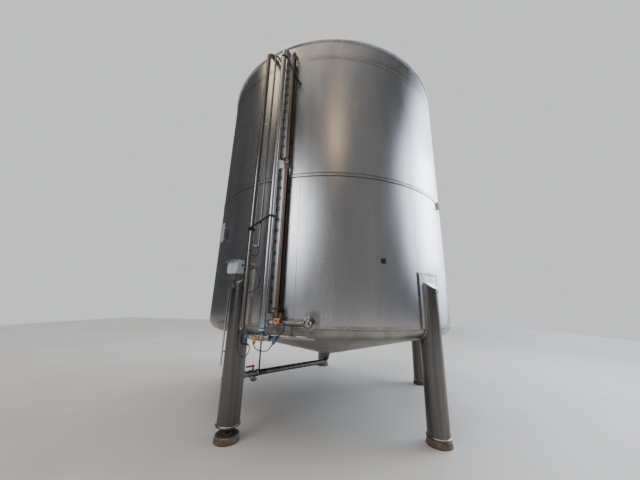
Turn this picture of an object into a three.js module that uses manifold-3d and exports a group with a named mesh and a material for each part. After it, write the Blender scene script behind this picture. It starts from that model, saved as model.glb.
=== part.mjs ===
import * as THREE from 'three';
import { mergeVertices } from 'three/addons/utils/BufferGeometryUtils.js';
import Module from 'manifold-3d';

// Vertical stainless storage tank on five tubular legs, with its level gauge, pipes and valves.
// Millimetres, +Z up, floor at Z = 0. An azimuth of 0 degrees faces -Y and grows towards +X.

// Shell
const SHELL_R = 1670;
const WALL = 4;
const SEGMENTS = 96;
const Z_KNUCKLE = 1003;
const Z_MID = 2516;
const Z_UPPER = 4055;
const Z_RIM = 4340;
const KNUCKLE_R = 108;
const CONE_SLOPE = THREE.MathUtils.degToRad(14);
const ROOF_SLOPE = THREE.MathUtils.degToRad(9);
const OUTLET_R = 38;
const BAND_HALF = 17;
const BAND_T = 3;
const RIM_BAR = 14;

// Fits between neighbours
const GAP = 0.3;
const PIN_GAP = 0.5;

// Legs and feet: azimuth, height of the tube's end over the floor
const LEG_R = 102;
const LEG_WALL = 4;
const LEG_CIRCLE = 1650;
const LEG_CAP_INNER = 1482;
const LEG_CAP_SLOPE = THREE.MathUtils.degToRad(40);
const Z_LEG_BOSS = 1366;
const LEG_PLATE_T = 10;
const LEG_PLATE_R = 112;
const DOUBLER_T = 10;
const DOUBLER_HALF = 192;
const Z_DOUBLER = 1556;
const PAD_R = 115;
const PAD_TOP_R = 104;
const PAD_H = 56;
const SPINDLE_R = 18;
const SPINDLE_HOLE_R = 22;
const NUT_R = 34;
const LEGS = [
	{ name: 'front_right', azimuth: 39.1, clear: 62 },
	{ name: 'back_right', azimuth: 111.1, clear: 58 },
	{ name: 'back', azimuth: 183.1, clear: 118 },
	{ name: 'left', azimuth: 255.1, clear: 120 },
	{ name: 'front_left', azimuth: -32.9, clear: 126 },
];

// Pipes
const PIPE_A_R = 25;
const PIPE_C_R = 28;
const THIN_R = 11;
const CLEANING_AZ = -18.6;
const CLEANING_Q = 1800;
const Z_CLEANING = 1000;
const COLLAR_H = 35;
const FERRULE_H = 13;
const VENT_AZ = -25.1;
const VENT_Q = 1820;
const Z_VENT = 968;
const PLUG_RIGHT = -71;
const CONDUIT_AZ = -22.2;
const CONDUIT_Q = 1800;
const Z_CONDUIT = 1740;
const Z_PIPE_TOP = 4190;
const Z_STRUT = 4030;
const STRUT_R = 9;
const Z_BRACE = 1905;
const BRACE_RISE = 125;
const BRACE_R = 9;
const BEND = 90;

// Level gauge
const GAUGE_AZ = -16.3;
const GAUGE_FACE = 1738;
const SCALE_T = 3;
const SCALE_LEFT = -66;
const SCALE_RIGHT = 8;
const SIGHT_R = 16.5;
const SIGHT_RIGHT = 28;
const SIGHT_OUT = 1748;
const SENSOR_RIGHT = 62;
const GUARD_RIGHT = 50;
const GUARD_OUT = 1712;
const GUARD_LIP = 12;
const Z_GAUGE_LOW = 1120;
const Z_GAUGE_MID = 2650;
const Z_GAUGE_TOP = 4088;

// Sampling branch with its nozzle under the gauge, and the rail that carries it
const Z_SAMPLE = 1040;
const NOZZLE_AZ = -5.7;
const NOZZLE_OUT = 1752;
const SUPPORT_AZ = -10.3;
const Z_RAIL = 936;

// Outlet
const OUTLET_AZ = -46.5;
const Z_OUTLET = 412;
const OUTLET_TUBE_R = 31.75;
const OUTLET_BEND = 86;
const OUTLET_END = 1130;
const OUTLET_HANGER = 1114;

// Junction box, nameplate, lug and probe socket
const BOX_AZ = -32.9;
const BOX_BACK = 1718;
const Z_BOX = 1490;
const PLATE_AZ = -50.1;
const LUG_AZ = 57;
const SOCKET_AZ = 18.5;
const Z_SOCKET = 1632;
const LEG_PIPE_RIGHT = -72;
const LEG_PIPE_OUT = 1752;
const CABLE_R = 4;
const CABLE_STEP = 15;

const wasm = await Module();
wasm.setup();

const steel = { roughness: 0.38, metalness: 0.9 };
const MATERIALS = {
	shell: { color: 0x9a9da0, ...steel },
	knuckle: { color: 0x77756f, ...steel },
	leg: { color: 0x5c5956, ...steel },
	pad: { color: 0x5a4632, roughness: 0.8, metalness: 0.3 },
	pipe: { color: 0xa9abad, ...steel },
	scale: { color: 0x8d9299, roughness: 0.5, metalness: 0.2 },
	amber: { color: 0x7a4a24, roughness: 0.3, metalness: 0.0 },
	black: { color: 0x1b1b1c, roughness: 0.6, metalness: 0.0 },
	orange: { color: 0xd9713f, roughness: 0.45, metalness: 0.0 },
	blue: { color: 0x3f86c4, roughness: 0.45, metalness: 0.0 },
	red: { color: 0x8c2330, roughness: 0.45, metalness: 0.0 },
	box: { color: 0xb4c0ca, roughness: 0.5, metalness: 0.1 },
	plate: { color: 0xa9a9b8, roughness: 0.5, metalness: 0.3 },
};

const tank = new THREE.Group();

function station(azimuth) {
	const group = new THREE.Group();
	group.rotation.z = THREE.MathUtils.degToRad(azimuth);
	tank.add(group);
	return group;
}

function addPart(parent, name, geometry, look) {
	const mesh = new THREE.Mesh(geometry, new THREE.MeshStandardMaterial(MATERIALS[look]));
	mesh.name = name;
	parent.add(mesh);
	return mesh;
}

// Solids

function bare(geometry) {
	const copy = geometry.index ? geometry.toNonIndexed() : geometry.clone();
	copy.deleteAttribute('normal');
	copy.deleteAttribute('uv');
	return mergeVertices(copy, 1e-3);
}

function triangles(merged) {
	const index = merged.index.array;
	const kept = [];
	for (let i = 0; i < index.length; i += 3) {
		const [a, b, c] = [index[i], index[i + 1], index[i + 2]];
		if (a !== b && b !== c && c !== a) kept.push(a, b, c);
	}
	return kept;
}

function volume(position, index) {
	const a = new THREE.Vector3();
	const b = new THREE.Vector3();
	const c = new THREE.Vector3();
	let sum = 0;
	for (let i = 0; i < index.length; i += 3) {
		a.fromBufferAttribute(position, index[i]);
		b.fromBufferAttribute(position, index[i + 1]);
		c.fromBufferAttribute(position, index[i + 2]);
		sum += a.dot(b.cross(c)) / 6;
	}
	return sum;
}

function outward(geometry) {
	const merged = bare(geometry);
	const index = triangles(merged);
	if (volume(merged.attributes.position, index) < 0) index.reverse();
	merged.setIndex(index);
	return merged;
}

function toSolid(geometry) {
	const merged = outward(geometry);
	const vertProperties = new Float32Array(merged.attributes.position.array);
	const triVerts = new Uint32Array(merged.index.array);
	return new wasm.Manifold(new wasm.Mesh({ numProp: 3, vertProperties, triVerts }));
}

function toGeometry(solid) {
	const mesh = solid.getMesh();
	const geometry = new THREE.BufferGeometry();
	geometry.setAttribute('position', new THREE.BufferAttribute(new Float32Array(mesh.vertProperties), 3));
	geometry.setIndex([...mesh.triVerts]);
	return geometry;
}

function fuse(...geometries) {
	return toGeometry(geometries.map(toSolid).reduce((whole, piece) => whole.add(piece)));
}

function cut(geometry, ...tools) {
	return toGeometry(tools.map(toSolid).reduce((whole, tool) => whole.subtract(tool), toSolid(geometry)));
}

// A profile of [radius, height] pairs turned about the vertical axis
function revolve(profile, segments = SEGMENTS) {
	const points = profile.map(([r, z]) => new THREE.Vector2(r, z));
	const onAxis = profile[0][0] === 0 && profile.at(-1)[0] === 0;
	if (!onAxis) points.push(points[0].clone());
	const geometry = new THREE.LatheGeometry(points, segments);
	geometry.rotateX(Math.PI / 2);
	return outward(geometry);
}

function ring(inner, outer, low, high) {
	return revolve([[inner, low], [outer, low], [outer, high], [inner, high]]);
}

// A box given by its span to the right, outward from the axis and up
function block(right, out, up) {
	const geometry = new THREE.BoxGeometry(right[1] - right[0], out[1] - out[0], up[1] - up[0]);
	geometry.translate((right[0] + right[1]) / 2, -(out[0] + out[1]) / 2, (up[0] + up[1]) / 2);
	return geometry;
}

// A point given by its distance to the right, outward from the axis and up
function local(right, out, up) {
	return new THREE.Vector3(right, -out, up);
}

function world(azimuth, out, up, right = 0) {
	return local(right, out, up).applyAxisAngle(new THREE.Vector3(0, 0, 1), THREE.MathUtils.degToRad(azimuth));
}

function rod(from, to, radius, sides = 20) {
	const axis = to.clone().sub(from);
	const geometry = new THREE.CylinderGeometry(radius, radius, axis.length(), sides);
	const turn = new THREE.Quaternion().setFromUnitVectors(new THREE.Vector3(0, 1, 0), axis.normalize());
	geometry.applyQuaternion(turn);
	const middle = from.clone().add(to).multiplyScalar(0.5);
	geometry.translate(middle.x, middle.y, middle.z);
	return geometry;
}

function post(right, out, low, high, radius, sides = 20) {
	return rod(local(right, out, low), local(right, out, high), radius, sides);
}

// Straight runs through the corners, joined by round bends
class PipeRun extends THREE.Curve {
	constructor(corners, bend, steps = 5) {
		super();
		this.stations = [];
		const legs = corners.slice(1).map((corner, i) => corner.clone().sub(corners[i]).normalize());
		this.stations.push([corners[0].clone(), legs[0]]);
		for (let i = 1; i < corners.length - 1; i++) {
			this.turn(corners[i], legs[i - 1], legs[i], bend, steps);
		}
		this.stations.push([corners.at(-1).clone(), legs.at(-1)]);
	}

	turn(corner, before, after, bend, steps) {
		const angle = before.angleTo(after);
		const side = after.clone().addScaledVector(before, -Math.cos(angle)).normalize();
		const start = corner.clone().addScaledVector(before, -bend * Math.tan(angle / 2));
		for (let i = 0; i <= steps; i++) {
			const a = (angle * i) / steps;
			const point = start.clone().addScaledVector(before, bend * Math.sin(a));
			point.addScaledVector(side, bend * (1 - Math.cos(a)));
			const tangent = before.clone().multiplyScalar(Math.cos(a)).addScaledVector(side, Math.sin(a));
			this.stations.push([point, tangent]);
		}
	}

	get count() {
		return this.stations.length - 1;
	}

	getPointAt(u) {
		return this.stations[Math.round(u * this.count)][0].clone();
	}

	getTangentAt(u) {
		return this.stations[Math.round(u * this.count)][1].clone();
	}
}

function disc(radius, sides) {
	const points = [];
	for (let i = 0; i < sides; i++) {
		const a = (2 * Math.PI * i) / sides;
		points.push(new THREE.Vector2(radius * Math.cos(a), radius * Math.sin(a)));
	}
	return new THREE.Shape(points);
}

function pipe(corners, radius, bend = BEND, sides = 16) {
	const path = new PipeRun(corners, bend);
	const options = { steps: path.count, bevelEnabled: false, extrudePath: path };
	return outward(new THREE.ExtrudeGeometry(disc(radius, sides), options));
}

// The shell's outside, a little larger, that brackets and bosses are cut to. It is turned back by
// the azimuth of the group it is used in, so that its facets lie on the shell's facets.
function shellBlank(azimuth, margin) {
	const r = SHELL_R + margin;
	const blank = revolve([[0, Z_KNUCKLE - 400], [r, Z_KNUCKLE - 400], [r, Z_RIM + 200], [0, Z_RIM + 200]]);
	blank.rotateZ(-THREE.MathUtils.degToRad(azimuth));
	return blank;
}

// Height and radius of the bottom's outside, from the knuckle's start to the outlet
function bottomOutside(margin) {
	const r = KNUCKLE_R + margin;
	const centre = SHELL_R - KNUCKLE_R;
	const points = [];
	const steps = 5;
	const sweep = Math.PI / 2 - CONE_SLOPE;
	for (let i = 0; i <= steps; i++) {
		const a = (sweep * i) / steps;
		points.push([centre + r * Math.cos(a), Z_KNUCKLE - r * Math.sin(a)]);
	}
	return points;
}

// Where the knuckle ends and the cone starts, on the outside or on the inside
function knuckleEnd(margin) {
	return bottomOutside(margin).at(-1);
}

function coneHeight(radius, margin) {
	const [r, z] = knuckleEnd(margin);
	return z - (r - radius) * Math.tan(CONE_SLOPE);
}

// The tank's outside with its bottom, a little larger, that the legs and hangers are cut to
function bottomBlank(azimuth, margin) {
	const blank = revolve([
		[0, coneHeight(0, margin)],
		...bottomOutside(margin).reverse(),
		[SHELL_R + margin, Z_DOUBLER + 500],
		[0, Z_DOUBLER + 500],
	]);
	blank.rotateZ(-THREE.MathUtils.degToRad(azimuth));
	return blank;
}

function buildShell() {
	const inner = SHELL_R - WALL;
	addPart(tank, 'shell_lower', ring(inner, SHELL_R, Z_KNUCKLE, Z_MID), 'shell');
	addPart(tank, 'shell_upper', ring(inner, SHELL_R, Z_MID, Z_UPPER), 'shell');
	addPart(tank, 'shell_top', ring(inner, SHELL_R, Z_UPPER, Z_RIM), 'shell');
	const bandR = SHELL_R + GAP;
	addPart(tank, 'mid_band', ring(bandR, bandR + BAND_T, Z_MID - BAND_HALF, Z_MID + BAND_HALF), 'shell');

	const knuckle = [...bottomOutside(0), ...bottomOutside(-WALL).reverse()];
	addPart(tank, 'bottom_knuckle', revolve(knuckle), 'knuckle');

	const [outR, outZ] = knuckleEnd(0);
	const [inR, inZ] = knuckleEnd(-WALL);
	const cone = [
		[outR - GAP, outZ - GAP * Math.tan(CONE_SLOPE)],
		[OUTLET_R, coneHeight(OUTLET_R, 0)],
		[OUTLET_R, coneHeight(OUTLET_R, -WALL)],
		[inR - GAP, inZ - GAP * Math.tan(CONE_SLOPE)],
	];
	addPart(tank, 'bottom_cone', revolve(cone), 'knuckle');
}

function buildRoof() {
	const rise = SHELL_R * Math.tan(ROOF_SLOPE);
	const roof = [
		[0, Z_RIM + rise],
		[SHELL_R, Z_RIM],
		[SHELL_R, Z_RIM + WALL],
		[0, Z_RIM + rise + WALL],
	];
	addPart(tank, 'roof', revolve(roof), 'shell');
	const rimR = SHELL_R + GAP;
	addPart(tank, 'rim_bar', ring(rimR, rimR + RIM_BAR, Z_RIM - RIM_BAR, Z_RIM + WALL), 'shell');
}

function buildLeg({ name, azimuth, clear }) {
	const group = station(azimuth);
	const low = clear;
	const tall = LEG_CAP_INNER + 130;
	const tube = post(0, LEG_CIRCLE, low, tall, LEG_R, 32);
	const plate = post(0, LEG_CIRCLE, low, low + LEG_PLATE_T, LEG_PLATE_R, 32);
	const doublerOut = SHELL_R + DOUBLER_T;
	const doubler = block(
		[-DOUBLER_HALF, DOUBLER_HALF],
		[SHELL_R - 60, doublerOut + 40],
		[Z_KNUCKLE, Z_DOUBLER],
	);
	const beyond = ring(doublerOut, doublerOut + 400, Z_KNUCKLE - 10, Z_DOUBLER + 10);
	beyond.rotateZ(-THREE.MathUtils.degToRad(azimuth));

	// The slanted cap closes the tube against the shell
	const slope = new THREE.BoxGeometry(800, 800, 400);
	slope.rotateX(LEG_CAP_SLOPE);
	slope.translate(0, -LEG_CIRCLE, LEG_CAP_INNER);
	slope.translate(0, -200 * Math.sin(LEG_CAP_SLOPE), 200 * Math.cos(LEG_CAP_SLOPE));
	const bore = post(0, LEG_CIRCLE, low + LEG_PLATE_T, tall, LEG_R - LEG_WALL, 32);
	const boreTop = slope.clone().translate(0, 0, -LEG_WALL * 2);
	const hollow = cut(bore, boreTop);
	const boss = spoke(0, [LEG_CIRCLE + LEG_R - 3.4, LEG_CIRCLE + LEG_R + 16], Z_LEG_BOSS, 18, 16);
	const body = fuse(cut(tube, slope), plate, boss, cut(doubler, beyond));
	const bottom = bottomBlank(azimuth, GAP);
	const inside = bottomBlank(azimuth, GAP + LEG_WALL);
	const hole = post(0, LEG_CIRCLE, low - 5, low + LEG_PLATE_T + 5, SPINDLE_HOLE_R, 24);
	addPart(group, `leg_${name}`, cut(body, bottom, cut(hollow, inside), hole), 'leg');

	const nut = post(0, LEG_CIRCLE, low - 26, low - GAP, NUT_R, 6);
	const spindle = post(0, LEG_CIRCLE, PAD_H - 5, low + 60, SPINDLE_R, 16);
	const pad = revolve([
		[0, 0],
		[PAD_R, 0],
		[PAD_R, 8],
		[PAD_TOP_R + 3, PAD_H - 5],
		[PAD_TOP_R - 2, PAD_H],
		[0, PAD_H],
	], 32);
	pad.translate(0, -LEG_CIRCLE, 0);
	addPart(group, `foot_${name}`, fuse(pad, spindle, nut), 'pad');
}

// Fittings on the shell

function onShell(geometry, azimuth) {
	return cut(geometry, shellBlank(azimuth, GAP));
}

function ball(right, out, up, radius, detail = 12) {
	const geometry = new THREE.SphereGeometry(radius, detail, Math.round(detail / 2));
	geometry.rotateX(Math.PI / 2);
	const centre = local(right, out, up);
	geometry.translate(centre.x, centre.y, centre.z);
	return geometry;
}

// A rod lying along the tangent or pointing away from the axis
function across(right, out, up, radius, sides = 20) {
	return rod(local(right[0], out, up), local(right[1], out, up), radius, sides);
}

function spoke(right, out, up, radius, sides = 20) {
	return rod(local(right, out[0], up), local(right, out[1], up), radius, sides);
}

function buildGauge() {
	const group = station(GAUGE_AZ);
	const face = [GAUGE_FACE, GAUGE_FACE + SCALE_T];
	const stud = (right, up, out = GAUGE_FACE + 1) => {
		return block([right - 6, right + 6], [SHELL_R - 8, out], [up - 8, up + 8]);
	};
	const scale = (low, high) => {
		const studs = [low + 60, (low + high) / 2, high - 130].map((up) => stud(-30, up));
		return onShell(fuse(block([SCALE_LEFT, SCALE_RIGHT], face, [low, high]), ...studs), GAUGE_AZ);
	};
	addPart(group, 'gauge_scale_lower', scale(Z_GAUGE_LOW, Z_GAUGE_MID - 62), 'scale');
	addPart(group, 'gauge_scale_upper', scale(Z_GAUGE_MID + 45, Z_GAUGE_TOP), 'scale');

	const tubeEnd = Z_GAUGE_MID - 46;
	const tubeStart = Z_GAUGE_MID + 46;
	const at = [SIGHT_RIGHT, SIGHT_OUT];
	addPart(group, 'gauge_tube_lower', post(...at, Z_GAUGE_LOW, tubeEnd, SIGHT_R, 16), 'amber');
	addPart(group, 'gauge_tube_upper', post(...at, tubeStart, Z_GAUGE_TOP, SIGHT_R, 16), 'amber');

	// The dark channel behind the sight tubes
	const height = [Z_GAUGE_LOW, Z_GAUGE_TOP];
	const back = block([SCALE_RIGHT + 2, GUARD_RIGHT], [GUARD_OUT, GUARD_OUT + 3], height);
	const side = block([GUARD_RIGHT - 3, GUARD_RIGHT], [GUARD_OUT, GUARD_OUT + GUARD_LIP], height);
	const studHeights = [Z_GAUGE_LOW + 90, Z_GAUGE_MID - 300, Z_GAUGE_MID + 300, Z_GAUGE_TOP - 90];
	const studs = studHeights.map((up) => stud(SIGHT_RIGHT, up, GUARD_OUT + 1));
	const window = block(
		[SCALE_RIGHT - 5, GUARD_RIGHT + 5],
		[GUARD_OUT - 5, SIGHT_OUT + 20],
		[tubeEnd, tubeStart],
	);
	const spine = block(
		[GUARD_RIGHT - 8, GUARD_RIGHT],
		[GUARD_OUT, GUARD_OUT + 3],
		[tubeEnd - 5, tubeStart + 5],
	);
	const guard = fuse(cut(fuse(back, side), window), spine, ...studs);
	addPart(group, 'gauge_guard', onShell(guard, GAUGE_AZ), 'black');

	const mid = fuse(
		post(...at, tubeEnd + GAP, tubeStart - GAP, 15),
		ball(SIGHT_RIGHT, SIGHT_OUT, Z_GAUGE_MID, 27),
		spoke(SIGHT_RIGHT, [SHELL_R - 8, SIGHT_OUT + 32], Z_GAUGE_MID, 11),
		spoke(SIGHT_RIGHT, [SHELL_R - 8, SHELL_R + 8], Z_GAUGE_MID, 20),
	);
	addPart(group, 'gauge_mid_valve', onShell(mid, GAUGE_AZ), 'pipe');
	const pin = [SIGHT_RIGHT, SIGHT_OUT + 32 + PIN_GAP, Z_GAUGE_MID];
	addPart(group, 'gauge_mid_lever', lever(pin, 50, 12, 8), 'black');

	const low = fuse(
		post(...at, Z_SAMPLE, Z_GAUGE_LOW - GAP, 13),
		post(...at, Z_GAUGE_LOW - 34, Z_GAUGE_LOW - GAP, 22, 6),
		ball(SIGHT_RIGHT, SIGHT_OUT, Z_SAMPLE, 30),
		across([SIGHT_RIGHT - 74, SIGHT_RIGHT + 34], SIGHT_OUT, Z_SAMPLE, 24),
		across([SIGHT_RIGHT - 74, SIGHT_RIGHT - 58], SIGHT_OUT, Z_SAMPLE, 28),
		spoke(SENSOR_RIGHT - 12, [SIGHT_OUT, SIGHT_OUT + 30], Z_SAMPLE + 14, 10),
		post(SIGHT_RIGHT + 5, SIGHT_OUT + 10, Z_SAMPLE - 128.8, Z_SAMPLE, 6, 12),
	);
	addPart(group, 'gauge_low_valve', low, 'pipe');
	const headOut = [SIGHT_OUT + 30 + GAP, SIGHT_OUT + 60];
	const head = fuse(
		block([SENSOR_RIGHT - 25, SENSOR_RIGHT + 25], headOut, [Z_SAMPLE, Z_SAMPLE + 40]),
		across([SENSOR_RIGHT, SENSOR_RIGHT + 36], SIGHT_OUT + 34 + 9, Z_SAMPLE + 20, 9, 12),
	);
	addPart(group, 'level_sensor', head, 'orange');
	const splitter = rod(local(44, SIGHT_OUT + 10, 902), local(18, SIGHT_OUT + 10, 862), 16, 16);
	addPart(group, 'connector_blue_right', splitter, 'blue');

	const top = pipe([
		local(SIGHT_RIGHT, SIGHT_OUT, Z_GAUGE_TOP + GAP),
		local(SIGHT_RIGHT, SIGHT_OUT, Z_GAUGE_TOP + 60),
		local(SIGHT_RIGHT, SHELL_R - 8, Z_GAUGE_TOP + 60),
	], 14, 34);
	addPart(group, 'gauge_top_elbow', onShell(top, GAUGE_AZ), 'pipe');
}

// A ring that holds a vertical pipe
function clamp(azimuth, out, up, radius) {
	const inner = radius + GAP;
	const outer = radius + 9;
	const loop = revolve([[inner, -13], [outer, -13], [outer, 13], [inner, 13]], 20);
	const centre = world(azimuth, out, up);
	return loop.rotateZ(THREE.MathUtils.degToRad(azimuth)).translate(centre.x, centre.y, centre.z);
}

// A flat lever with a round hub: it reaches left from its pin
function lever([right, out, up], length, width, thick, lean = 0) {
	const hub = spoke(0, [-0.01, thick], 0, width, 16);
	const arm = block([-length, 0], [0, thick], [-width / 2, width / 2]);
	const whole = fuse(hub, arm);
	whole.rotateY(THREE.MathUtils.degToRad(lean));
	const centre = local(right, out, up);
	whole.translate(centre.x, centre.y, centre.z);
	return whole;
}

function buildPipes() {
	const cleaning = station(CLEANING_AZ);
	const cleaningRun = pipe([
		local(0, CLEANING_Q, Z_CLEANING),
		local(0, CLEANING_Q, Z_PIPE_TOP),
		local(0, SHELL_R - 8, Z_PIPE_TOP),
	], PIPE_C_R, 70, 20);
	addPart(cleaning, 'cleaning_pipe', onShell(cleaningRun, CLEANING_AZ), 'pipe');
	const collar = post(0, CLEANING_Q, Z_CLEANING - COLLAR_H, Z_CLEANING - GAP, PIPE_C_R + 1, 24);
	addPart(cleaning, 'cleaning_collar', collar, 'blue');
	const z = Z_CLEANING - 83;
	const neck = Z_CLEANING - COLLAR_H - GAP;
	const manifold = fuse(
		post(0, CLEANING_Q, z - 30, neck, PIPE_C_R - 3),
		post(0, CLEANING_Q, neck - FERRULE_H, neck, PIPE_C_R + 1, 24),
		across([-52, 84], CLEANING_Q, z, 24),
		across([-52, -40], CLEANING_Q, z, 28),
		across([68, 84], CLEANING_Q, z, 29),
		ball(0, CLEANING_Q, z, 28),
	);
	addPart(cleaning, 'cleaning_manifold', manifold, 'pipe');
	const plug = fuse(
		post(PLUG_RIGHT, CLEANING_Q, z - 51, z + 4, 17.5, 20),
		across([PLUG_RIGHT, -52 - GAP], CLEANING_Q, z - 9, 11, 12),
	);
	addPart(cleaning, 'sensor_orange', plug, 'orange');
	const stub = rod(local(PLUG_RIGHT - 19.6, CLEANING_Q, z - 15), local(-134, CLEANING_Q, z - 8.4), 9, 16);
	addPart(cleaning, 'connector_stub', stub, 'pipe');
	const blue = rod(local(-138, CLEANING_Q, z - 7), local(-176, CLEANING_Q, z + 7), 17.5, 16);
	addPart(cleaning, 'connector_blue_left', blue, 'blue');
	const curl = pipe([
		local(-176.4, CLEANING_Q, z + 7.1),
		local(-203, CLEANING_Q, z + 16),
		local(-203, CLEANING_Q, 852),
		local(-137, CLEANING_Q, 852),
	], 9, 18, 12);
	addPart(cleaning, 'connector_elbow', curl, 'black');

	const strutTop = Z_STRUT;
	const strut = fuse(
		clamp(CLEANING_AZ, CLEANING_Q, strutTop, PIPE_C_R),
		pipe([
			world(CLEANING_AZ, CLEANING_Q, strutTop, PIPE_C_R + 10),
			world(GAUGE_AZ, 1776, strutTop - 256, 66),
			world(GAUGE_AZ, SHELL_R - 8, strutTop - 307, 99),
		], STRUT_R, 30, 12),
	);
	addPart(tank, 'pipe_strut', onShell(strut, 0), 'black');

	const vent = station(VENT_AZ);
	const ventRun = pipe([
		local(0, VENT_Q, Z_VENT),
		local(0, VENT_Q, Z_PIPE_TOP),
		local(0, SHELL_R - 8, Z_PIPE_TOP),
	], PIPE_A_R, 70, 20);
	addPart(vent, 'vent_pipe', onShell(ventRun, VENT_AZ), 'pipe');

	const conduit = station(CONDUIT_AZ);
	const conduitRun = pipe([
		local(-46, CONDUIT_Q + 6, Z_CONDUIT),
		local(0, CONDUIT_Q, Z_CONDUIT),
		local(0, CONDUIT_Q, Z_PIPE_TOP - 60),
		local(0, SHELL_R - 8, Z_PIPE_TOP - 60),
	], THIN_R, 34, 12);
	const outlet = rod(local(-6, CONDUIT_Q + 1, Z_CONDUIT + 4), local(-6, CONDUIT_Q + 1, Z_CONDUIT - 9), 7, 12);
	addPart(conduit, 'conduit', onShell(fuse(conduitRun, outlet), CONDUIT_AZ), 'pipe');

	const brace = fuse(
		clamp(VENT_AZ, VENT_Q, Z_BRACE, PIPE_A_R),
		clamp(CLEANING_AZ, CLEANING_Q, Z_BRACE + BRACE_RISE, PIPE_C_R),
		rod(
			world(VENT_AZ, VENT_Q + PIPE_A_R + 15, Z_BRACE, -8),
			world(CLEANING_AZ, CLEANING_Q + 4, Z_BRACE + BRACE_RISE, -(PIPE_C_R + 8)),
			BRACE_R,
			12,
		),
	);
	addPart(tank, 'pipe_brace', brace, 'black');
}

function buildNozzle() {
	const group = station(NOZZLE_AZ);
	const pad = spoke(0, [SHELL_R - 30, SHELL_R + 6], Z_SAMPLE, 58, 32);
	const stub = spoke(0, [SHELL_R - 30, NOZZLE_OUT], Z_SAMPLE, 29);
	const collar = spoke(0, [SHELL_R + 28, SHELL_R + 42], Z_SAMPLE, 44, 24);
	const body = fuse(onShell(fuse(pad, stub), NOZZLE_AZ), collar, ball(0, NOZZLE_OUT, Z_SAMPLE, 40));
	const stem = spoke(0, [NOZZLE_OUT, NOZZLE_OUT + 54], Z_SAMPLE, 9, 12);
	addPart(group, 'nozzle', fuse(body, stem), 'pipe');
	const grip = fuse(
		spoke(0, [NOZZLE_OUT + 54 + PIN_GAP, NOZZLE_OUT + 63], Z_SAMPLE, 14, 16),
		block([-7, 7], [NOZZLE_OUT + 56, NOZZLE_OUT + 62], [Z_SAMPLE, Z_SAMPLE + 104]),
	);
	addPart(group, 'nozzle_lever', grip, 'pipe');

	const left = world(GAUGE_AZ, SIGHT_OUT, Z_SAMPLE, SIGHT_RIGHT + 37);
	const right = world(NOZZLE_AZ, NOZZLE_OUT, Z_SAMPLE, -41);
	const foot = world(SUPPORT_AZ, 1731, Z_RAIL);
	const stand = rod(foot, foot.clone().setZ(Z_SAMPLE), 13, 16);
	addPart(tank, 'sample_pipe', fuse(rod(left, right, 26, 20), stand), 'pipe');
}

function buildRail() {
	const group = station(SUPPORT_AZ);
	const bar = block([-228, 205], [1710, 1722], [Z_RAIL - 30, Z_RAIL - GAP]);
	const seat = block([-24, 24], [1710, 1752], [Z_RAIL - 8, Z_RAIL - GAP]);
	const arm = (right) => block([right - 15, right + 15], [SHELL_R - 80, 1712], [Z_RAIL - 30, Z_RAIL - 22]);
	const body = fuse(bar, seat, arm(-150), arm(150));
	addPart(group, 'pipe_rail', cut(body, bottomBlank(SUPPORT_AZ, GAP)), 'pipe');
}

function buildOutlet() {
	const group = station(OUTLET_AZ);
	const run = pipe([
		local(0, 0, coneHeight(OUTLET_R, 0) + 4 - GAP),
		local(0, 0, Z_OUTLET),
		local(0, OUTLET_END, Z_OUTLET),
	], OUTLET_TUBE_R, OUTLET_BEND, 20);
	const flange = post(0, 0, coneHeight(OUTLET_R, 0) - 12, coneHeight(OUTLET_R, 0) - 0.5, 44, 28);
	addPart(group, 'outlet_pipe', fuse(run, flange), 'pipe');

	const hangerTop = coneHeight(OUTLET_HANGER, 0) - 1;
	const hanger = fuse(
		post(0, OUTLET_HANGER, Z_OUTLET + OUTLET_TUBE_R + GAP, hangerTop, 9, 12),
		post(0, OUTLET_HANGER, hangerTop - 7, hangerTop, 24, 16),
	);
	addPart(group, 'outlet_hanger', cut(hanger, bottomBlank(OUTLET_AZ, GAP)), 'black');

	const start = OUTLET_END + GAP;
	const pin = start + 63;
	const valve = fuse(
		spoke(0, [start, start + 14], Z_OUTLET, 40, 24),
		spoke(0, [start, start + 170], Z_OUTLET, 32, 24),
		ball(0, start + 48, Z_OUTLET - 44, 46, 20),
		spoke(0, [start + 94, start + 108], Z_OUTLET, 40, 24),
		spoke(0, [start + 157, start + 170], Z_OUTLET, 40, 24),
		post(0, pin, Z_OUTLET, Z_OUTLET + 66, 9, 12),
	);
	addPart(group, 'outlet_valve', valve, 'pipe');
	const grip = fuse(
		post(0, pin, Z_OUTLET + 66 + PIN_GAP, Z_OUTLET + 88, 15, 16),
		block([-9, 9], [pin, pin + 92], [Z_OUTLET + 68, Z_OUTLET + 86]),
	);
	addPart(group, 'outlet_handle', grip, 'red');
}

function buildBox() {
	const group = station(BOX_AZ);
	const body = fuse(
		block([-85, 85], [BOX_BACK, BOX_BACK + 82], [Z_BOX, Z_BOX + 130]),
		block([-30, 30], [SHELL_R - 8, BOX_BACK + 1], [Z_BOX + 80, Z_BOX + 92]),
	);
	addPart(group, 'junction_box', onShell(body, BOX_AZ), 'box');
	const sheet = block([-112, 70], [SHELL_R - 8, BOX_BACK + 104], [0, 3]);
	const lip = block([-112, 70], [BOX_BACK + 101, BOX_BACK + 104], [-24, 3]);
	const hood = fuse(sheet, lip).translate(0, SHELL_R, 0);
	hood.rotateX(THREE.MathUtils.degToRad(8));
	hood.translate(0, -SHELL_R, Z_BOX + 152);
	addPart(group, 'box_hood', onShell(hood, BOX_AZ), 'shell');
}

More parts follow.
